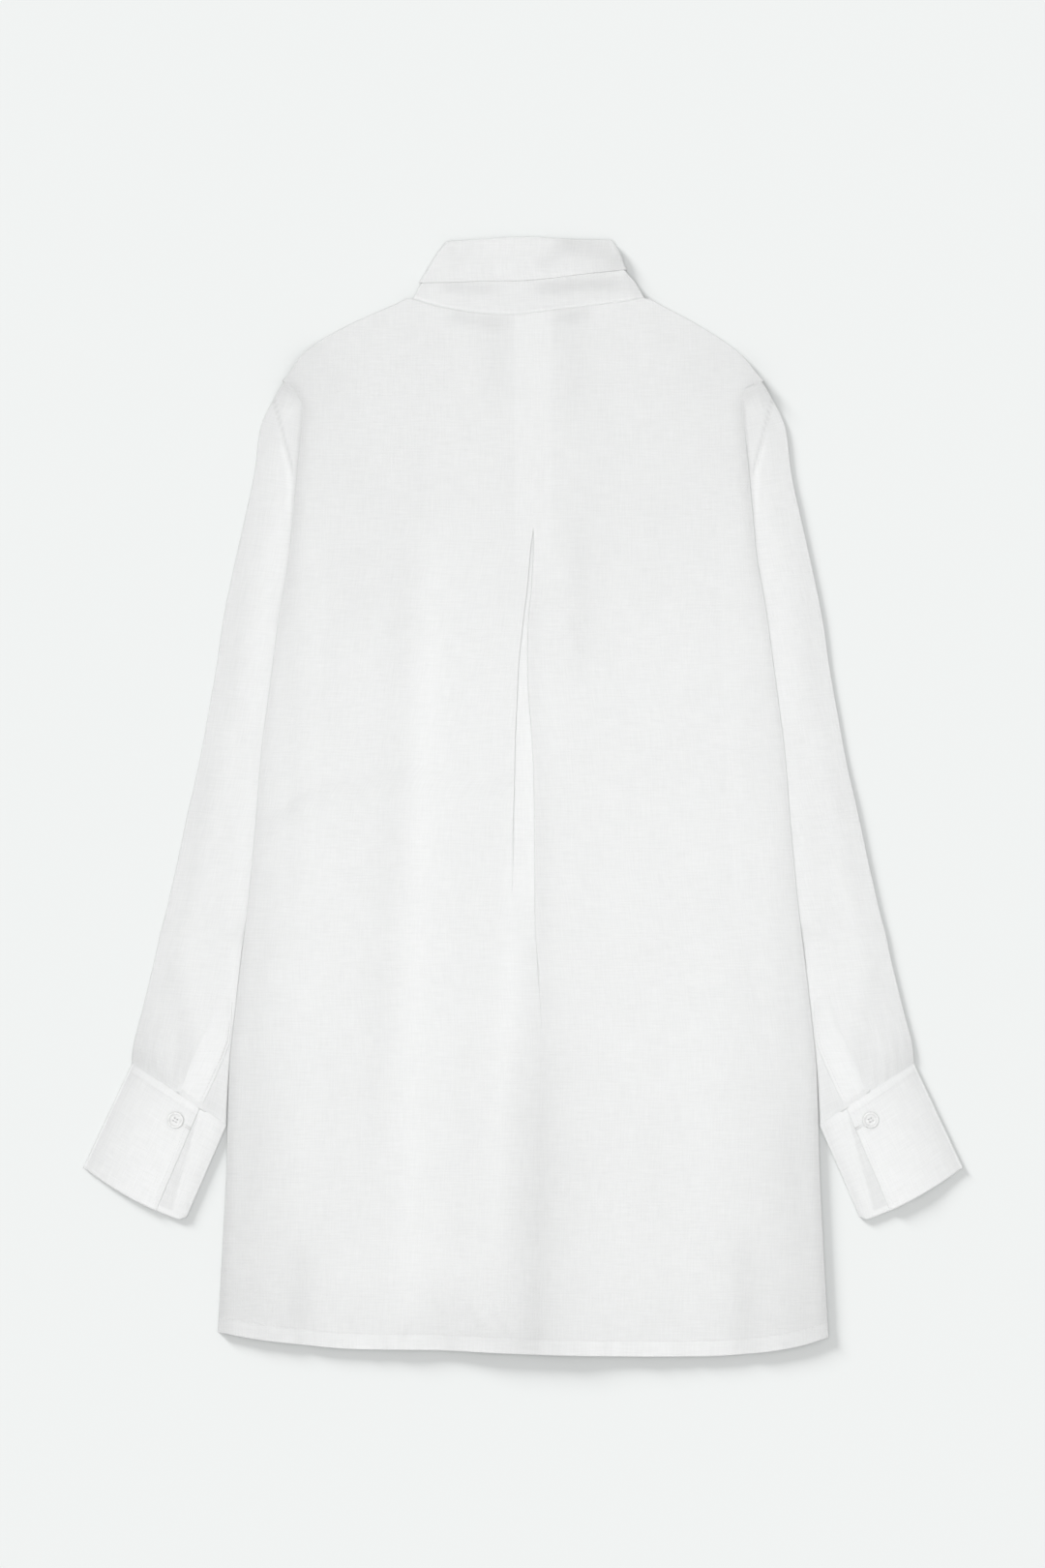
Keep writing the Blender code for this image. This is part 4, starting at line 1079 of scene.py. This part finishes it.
def ringColumns(*frontEnds):
    # across, in front, outward x, outward z, shift; from the left front end round the back to the right one.
    even = np.linspace(collar["frontStart"], frontEnds[-1], collar["frontColumns"])
    shares = np.unique(np.concatenate([even, frontEnds]))
    columns = [(-1 + share, True, 0.0, -1.0, 0) for share in shares[::-1]]
    for step in range(arcSteps + 1):
        angle = pi * (1.5 - step / arcSteps)
        columns.append((-1.0, step < arcSteps / 2, cos(angle), sin(angle), 1))
    for share in np.linspace(-collar["backEnd"], collar["backEnd"], collar["backColumns"]):
        columns.append((float(share), False, 0.0, 1.0, 0))
    for step in range(arcSteps + 1):
        angle = pi * (0.5 - step / arcSteps)
        columns.append((1.0, step > arcSteps / 2, cos(angle), sin(angle), -1))
    columns += [(1 - share, True, 0.0, -1.0, 0) for share in shares]
    return columns


def neckSeam(across, inFront):
    x = neckCentre + across * (neckHalf - 1)
    line = float(frontTopLine(x)) + collar["frontSeamUp"] if inFront else float(backTopLine(x))
    return line + collar["seamUp"]


def ringPoint(column, y, outward, lean=0.0):
    across, _, outX, outZ, shift = column
    radius = doubledStep / 2
    left = float(smoothRead(collar["sides"], y, 1)) + collar["sideInset"]
    right = float(smoothRead(collar["sides"], y, 2)) - collar["sideInset"]
    x = (left + right) / 2 + across * (right - left) / 2
    x += shift * radius + outX * (radius + collar["sideRoom"] * outward) + lean
    return x, y, ringHeight + outZ * (radius + outward)


def standLift(column, number, count):
    across, inFront = column[:2]
    if not inFront:
        return 0.0
    ownEnd = ridge["right"] if number > count / 2 else ridge["left"]
    return (ownEnd - ringHeight + doubledStep / 2) * float(ease(abs(across), *collar["endLift"]))


def makeStand():
    columns = ringColumns(collar["frontEnd"], collar["lapEnd"])
    points, tones = [], []
    for share in (*collar["standFoot"], *np.linspace(0.1, 0.97, collar["standSteps"]), 1.0):
        row, tone = [], []
        tall = share * collar["standTall"]
        for number, column in enumerate(columns):
            inFront = column[1]
            x, y, z = ringPoint(column, neckSeam(column[0], inFront) + tall, 0)
            z += standLift(column, number, len(columns))
            # painted highlight at the neck seam, and painted shade and light from the streaks
            standLightAndShade = areas(collar["standAreas"], tall=tall)
            if not inFront:
                z += areas(collar["standRelief"], tall=tall, offMiddle=abs(x - back["neckMiddle"]))
                standLightAndShade += float(bands(x, y, collar["standStreaks"]))
            row.append((x, y, z))
            tone.append(standLightAndShade)
        points.append(row)
        tones.append(tone)
    return sewSheet("collarStand", "collar_stand", points, tones, True)


def leafLine(column):
    # Heights of the leaf's fold and of its free edge, and how far its point leans.
    across, inFront = column[:2]
    x = neckCentre + across * neckHalf
    roll, edge = float(smoothRead(collar["roll"], x)), float(smoothRead(collar["leafEdge"], x))
    if not inFront:
        return roll, edge, 0.0
    forward = 1 - abs(across)
    low, rise = collar["frontRoll"]
    roll = neckSeam(across, True) + collar["standTall"] + low + rise * forward
    edge = mix(edge, collar["leafPointY"], float(ease(forward, *collar["pointReach"])))
    lean = collar["leafLean"] * float(ease(forward, *collar["leanReach"])) * (-1 if across < 0 else 1)
    return roll, edge, lean


def makeLeaf():
    columns = ringColumns(collar["frontEnd"])
    radius = doubledStep / 2
    steps = [(share, 0.0) for share in collar["leafRise"]]
    steps += [(1.0, pi * step / arcSteps) for step in range(arcSteps + 1)]
    steps += [(share, pi) for share in collar["leafFall"]]
    points, tones = [], []
    inset = collar["leafEndInset"]
    ends = {0: inset, len(columns) - 1: -inset}
    for share, angle in steps:
        row, tone = [], []
        for number, column in enumerate(columns):
            across, inFront = column[:2]
            roll, edge, lean = leafLine(column)
            start = neckSeam(across, inFront) + collar["standTall"] + solidDoubled / 2 + collar["leafGap"]
            crest = roll - solidDoubled / 2 - radius
            if share <= 1:
                y = mix(start, crest, share) + radius * sin(angle)
            else:
                y = mix(crest, edge, share - 1)
            lean = lean * max(0, share - 1) + ends.get(number, 0)
            x, y, z = ringPoint(column, y, radius * (1 - cos(angle)), lean)
            # painted shade along the roll, and painted shade and light from the streaks
            light = areas(collar["leafAreas"], belowRoll=roll - y)
            if not inFront:
                light += float(bands(x, y, collar["leafStreaks"]))
                if share > 1:
                    z += float(bands(x, y, collar["leafFolds"]))
                    z += float(areas(collar["leafRelief"], aboveEdge=y - edge))
            row.append((x, y, z))
            tone.append(light)
        points.append(row)
        tones.append(tone)
    return sewSheet("collarLeaf", "collar_leaf", points, tones, True)


# Stitching

stitching = {
    "pitch": 2.9, "length": 2.2, "thick": 0.34, "sides": 6, "ends": 0.18, "start": 0.3,
    "hemRuns": ((-233, -11), (14, 233)), "hemStep": 6.0,
    "seamFrom": 0.03, "flapInset": (0.02, 0.05), "flapDown": (0.075, 0.985), "points": 30,
    "slit": (-176, -238), "slitPoints": 40, "slitShare": 0.1,
    "armholeOut": 2.4, "armholeRows": (306, 252, -3), "armholeLift": 0.16,
    # how far the middle of the thread lies above the cloth's upper face
    "hemLift": 0.08, "placketLift": 0.05, "cuffLift": -0.12,
}
# The buttonhole; it follows the line between two shares across the cuff
hole = {
    "long": 15, "pitch": 0.55, "from": 0.25, "to": 1.25, "thick": 0.45, "lift": 0.06,
    "pastButton": 0.07, "line": (0.4, 0.7),
}


def capsules(name, starts, ends, thick):
    # Short rounded pieces of thread between pairs of points, all in one mesh.
    corners, faces = [], []
    sides = stitching["sides"]
    for start, end in zip(starts, ends):
        start, end = np.array(start), np.array(end)
        along = (end - start) / np.linalg.norm(end - start)
        beside = np.cross(along, (0, 0, 1))
        beside = beside / np.linalg.norm(beside)
        above = np.cross(beside, along)
        base = len(corners)
        corners.append(start)
        for share in (stitching["ends"], 1 - stitching["ends"]):
            centre = start + (end - start) * share
            for step in range(sides):
                angle = 2 * pi * step / sides
                corners.append(centre + (beside * cos(angle) + above * sin(angle)) * thick / 2)
        corners.append(end)
        first, second, tip = base + 1, base + 1 + sides, base + 1 + 2 * sides
        for step in range(sides):
            after = (step + 1) % sides
            faces.append((base, first + after, first + step))
            faces.append((first + step, first + after, second + after, second + step))
            faces.append((tip, second + step, second + after))
    mesh = bpy.data.meshes.new(name)
    mesh.from_pydata([tuple(c * mm) for c in corners], [], faces)
    mesh.shade_smooth()
    mesh.materials.append(thread)
    return dress(newObject(name, mesh), "linen")


def stitchRows(name, *paths):
    # Even stitches along each path of points.
    starts, ends = [], []
    for path in paths:
        path = np.array(path, float)
        lengths = np.concatenate([[0], np.cumsum(np.linalg.norm(np.diff(path, axis=0), axis=1))])
        for number in range(int(lengths[-1] / stitching["pitch"])):
            low = number * stitching["pitch"] + stitching["start"]
            for made, at in ((starts, low), (ends, low + stitching["length"])):
                made.append([np.interp(at, lengths, path[:, axis]) for axis in range(3)])
    return capsules(name, starts, ends, stitching["thick"])


def buttonhole(name, place, direction):
    # Close bars of thread on both sides of a slot.
    direction = np.array(direction) / np.linalg.norm(direction)
    beside = np.array((-direction[1], direction[0], 0))
    starts, ends = [], []
    for step in np.arange(-hole["long"] / 2, hole["long"] / 2 + 0.01, hole["pitch"]):
        centre = np.array(place) + direction * step + (0, 0, hole["lift"])
        for way in (-1, 1):
            starts.append(centre + beside * way * hole["from"])
            ends.append(centre + beside * way * hole["to"])
    return capsules(name, starts, ends, hole["thick"])


def upperFace(plies, lift):
    # How far the thread lies above the middle of the cloth.
    return plies["wall"] / 2 - plies["drop"] + stitching[lift]


def hemPath(low, high):
    # Points on the back's upper face along the hem's stitching.
    points = []
    for x in np.arange(low, high, stitching["hemStep"]):
        foot = float(hemLine(x))
        y = foot + hem["turn"]
        up = (y - foot) / (float(backTopLine(x)) - foot)
        points.append((x, y, float(backHeight(x, y, up)) + upperFace(cloth, "hemLift")))
    return points


def cuffStitching(side, label, top):
    down = cuff["stitchDown"] / cuff["tall"]
    seamInset, edgeInset = stitching["flapInset"]
    shares = np.linspace(stitching["seamFrom"], cuff["flap"] - seamInset, stitching["points"])
    seam = [*cuffPlace(shares, down, side), top + doubledStep * ease(shares, *cuff["flapRise"])]
    downs = np.linspace(*stitching["flapDown"], stitching["points"])
    edge = [*cuffPlace(cuff["flap"] - edgeInset + 0 * downs, downs, side), top + doubledStep + 0 * downs]
    return stitchRows("cuffStitching" + label, np.column_stack(seam), np.column_stack(edge))


def cuffButtonhole(side, label, top):
    across, down = cuff["button"]
    slot = cuffPlace(across + hole["pastButton"], down, side)
    outer, inner = (cuffPlace(share, down, side) for share in hole["line"])
    direction = (inner[0] - outer[0], inner[1] - outer[1], 0)
    return buttonhole("cuffButtonhole" + label, (*slot, top + doubledStep), direction)


def placketStitching(side, label):
    slit = np.linspace(*stitching["slit"], stitching["slitPoints"])
    x, y, z = placketPoint(stitching["slitShare"], slit, side)
    z = z + upperFace(cloth, "placketLift")
    return stitchRows("placketStitching" + label, np.column_stack([x, y, z]))


def armholeStitching(side, label):
    path = []
    for y in range(*stitching["armholeRows"]):
        x = float(smoothRead(sleeve["armhole"], y)) + stitching["armholeOut"]
        path.append((side * x, y, float(sleeveSurface(x, y, True)) + stitching["armholeLift"]))
    return stitchRows("armholeStitching" + label, path)


def makeStitching():
    # The seams that belong to each piece of cloth.
    seams = {"hem": [stitchRows("hemStitching", *(hemPath(*run) for run in stitching["hemRuns"]))]}
    top = solidDoubled / 2 + doubledStep + upperFace(doubledCloth, "cuffLift")
    for side, label in halves:
        cuffRows = cuffStitching(side, label, top)
        seams["placket" + label] = [placketStitching(side, label)]
        seams["armhole" + label] = [armholeStitching(side, label)]
        seams["cuff" + label] = [cuffRows, cuffButtonhole(side, label, top)]
    print("stitching:", sum(len(rows) for rows in seams.values()), "seams")
    return seams


# Buttons

button = {
    "across": 12.7, "thick": 2.2, "holeAcross": 1.3, "holeSpread": 1.6, "holes": 4, "steps": 48,
    "frontCount": 7, "spacing": 96, "lowest": -318,
    # radius and height of the turned outline, as shares, from the middle of the face round to the back
    "profile": [
        (0.001, 0.60), (0.40, 0.58), (0.60, 0.62), (0.68, 0.74), (0.74, 0.93), (0.80, 1.0), (0.90, 1.0),
        (0.96, 0.92), (1.0, 0.72), (1.0, 0.40), (0.95, 0.16), (0.82, 0.0), (0.001, 0.0),
    ],
    "turn": 0.5, "lift": 0.3,           # how a cuff button is turned, and how far above the flap it lies
    "threadHigh": 0.12, "threadApart": 0.22, "threadPast": 0.5, "threadThick": 0.42,
}


def buttonMesh():
    # A turned disc with a raised rim and drilled holes.
    radius, thick, steps = button["across"] / 2, button["thick"], button["steps"]
    corners, faces = [], []
    for r, h in button["profile"]:
        for step in range(steps):
            angle = 2 * pi * step / steps
            corners.append((r * radius * cos(angle) * mm, r * radius * sin(angle) * mm, h * thick * mm))
    lastRing = len(corners) - steps
    for a in range(0, lastRing, steps):
        for step in range(steps):
            after = (step + 1) % steps
            b = a + steps
            faces.append((a + step, b + step, b + after, a + after))
    top, bottom = len(corners), len(corners) + 1
    corners += [(0, 0, button["profile"][0][1] * thick * mm), (0, 0, 0)]
    for step in range(steps):
        after = (step + 1) % steps
        faces.append((top, step, after))
        faces.append((bottom, lastRing + after, lastRing + step))
    mesh = bpy.data.meshes.new("buttonBlank")
    mesh.from_pydata(corners, [], faces)
    blank = newObject("buttonBlank", mesh)
    drills = []
    for number in range(button["holes"]):
        angle = (number + 0.5) * 2 * pi / button["holes"]
        x, y = (button["holeSpread"] * f(angle) * mm for f in (cos, sin))
        bpy.ops.mesh.primitive_cylinder_add(
            vertices=20, radius=button["holeAcross"] / 2 * mm, depth=0.01, location=(x, y, 0))
        drill = bpy.context.object
        drills.append(drill)
        cut = blank.modifiers.new("drill%d" % number, "BOOLEAN")
        cut.object = drill
        cut.solver = "EXACT"
    drilled = bpy.data.meshes.new_from_object(blank.evaluated_get(bpy.context.evaluated_depsgraph_get()))
    for extra in drills + [blank]:
        bpy.data.objects.remove(extra, do_unlink=True)
    drilled.materials.clear()
    drilled.materials.append(shell)
    return drilled


def makeButton(name, node, place, mesh, faceUp=False, turn=0.0):
    # Those of the front and the collar lie face down.
    x, y, z = place
    piece = newObject(name, mesh)
    piece.location = (x * mm, y * mm, (z if faceUp else z + button["thick"]) * mm)
    piece.rotation_euler = (0 if faceUp else pi, 0, turn)
    return dress(piece, "shell_white", node)


def sewOn(label, place, turn):
    # Two pairs of threads across a button's holes.
    turned = Euler((0, 0, turn)).to_matrix()
    reach = button["holeSpread"] * cos(pi / 4)
    high = Vector(place) + Vector((0, 0, button["thick"] * button["profile"][0][1] + button["threadHigh"]))
    starts, ends = [], []
    for way in (-1, 1):
        for beside in (-button["threadApart"], button["threadApart"]):
            for made, past in ((starts, -1), (ends, 1)):
                end = Vector((past * (reach + button["threadPast"]), way * reach + beside, 0))
                made.append(tuple(turned @ end + high))
    capsules("cuffButtonThread" + label, starts, ends, button["threadThick"])


def makeButtons():
    mesh = buttonMesh()
    faces = len(mesh.polygons)
    mesh.shade_smooth()
    mesh.set_sharp_from_angle(angle=radians(35))
    for side, label in halves:
        place = (*cuffPlace(*cuff["button"], side), solidDoubled + 2 * doubledStep + button["lift"])
        turn = side * button["turn"]
        makeButton("cuffButton" + label, "button_cuff_" + label.lower(), place, mesh, True, turn)
        sewOn(label, place, turn)
    for number in range(button["frontCount"]):
        y = button["lowest"] + button["spacing"] * number
        makeButton("frontButton%d" % (number + 1), "button_front_%d" % (number + 1), (0, y, 0), mesh)
    neckY = float(frontTopLine(0.0)) + collar["standTall"] / 2
    makeButton("collarButton", "button_collar", (0, neckY, 0), mesh)
    print("buttons:", button["frontCount"] + 3, "of", faces, "faces each")


# Put the shirt together

backPiece = makeBack()
print("back:", len(backPiece.data.vertices), "points")
fronts = {label: makeFront(side, label) for side, label in halves}
print("fronts:", len(fronts["Left"].data.vertices), "points each")
sleeves = {label: makeSleeve(side, label) for side, label in halves}
plackets = {label: makePlacket(side, label) for side, label in halves}
print("sleeves:", len(sleeves["Left"].data.vertices), "points each, with plackets")
cuffs = {label: makeCuff(side, label) for side, label in halves}
print("cuffs:", len(cuffs["Left"].data.vertices), "points each")
standPiece, leafPiece = makeStand(), makeLeaf()
print("collar: stand and leaf")
seams = makeStitching()
makeButtons()

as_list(seams["hem"])
for side, label in halves:
    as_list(seams["armhole" + label])
    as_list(seams["placket" + label])
    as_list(seams["cuff" + label])


# Floor, light and camera

def makeFloor():
    size = floor["size"] / 2
    mesh = bpy.data.meshes.new("floor")
    corners = [(-size, -size, 0), (size, -size, 0), (size, size, 0), (-size, size, 0)]
    mesh.from_pydata(corners, [], [(0, 1, 2, 3)])
    material, finish = newMaterial("paleTable")[:2]
    finish({"Base Color": (*floor["colour"], 1), "Roughness": 0.95, "Specular IOR Level": 0.0})
    mesh.materials.append(material)
    piece = newObject("floor", mesh)
    piece.location = (0, 0, -0.05 * mm)
    piece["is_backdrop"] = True
    return piece


def makeRoom():
    world = bpy.data.worlds.new("paleRoom")
    bpy.context.scene.world = world
    world.use_nodes = True
    backdrop = world.node_tree.nodes["Background"]
    backdrop.inputs["Color"].default_value = (1, 1, 1, 1)
    backdrop.inputs["Strength"].default_value = light["room"]


def makeLamp(name, values, takenBy):
    sun = bpy.data.lights.new(name, "SUN")
    sun.energy = values["strength"]
    sun.angle = radians(values["angle"])
    lamp = newObject(name, sun)
    turn, tilt = radians(values["turn"]), radians(values["tilt"])
    towards = Vector((sin(turn) * sin(tilt), -cos(turn) * sin(tilt), -cos(tilt)))
    lamp.rotation_euler = towards.to_track_quat("-Z", "Y").to_euler()
    lamp.light_linking.receiver_collection = takenBy


def makeCamera():
    data = bpy.data.cameras.new("overhead")
    data.sensor_width = camera["sensor"]
    data.lens = camera["lens"]
    data.clip_end = 40
    view = newObject("overhead", data)
    view.location = (*camera["centre"], camera["tall"] * camera["lens"] / camera["sensor"])
    bpy.context.scene.camera = view


table = makeFloor()
tableOnly, shirtOnly = bpy.data.collections.new("tableOnly"), bpy.data.collections.new("shirtOnly")
tableOnly.objects.link(table)
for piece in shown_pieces():
    shirtOnly.objects.link(piece)
makeRoom()
makeLamp("ceilingLight", light["ceiling"], None)
makeLamp("overheadLight", light["overhead"], shirtOnly)
makeLamp("lowLight", light["low"], tableOnly)
makeCamera()
bpy.context.scene.view_settings.view_transform = "Standard"
bpy.context.scene.view_settings.look = "None"
print("floor, light and camera")

bpy.context.view_layer.update()
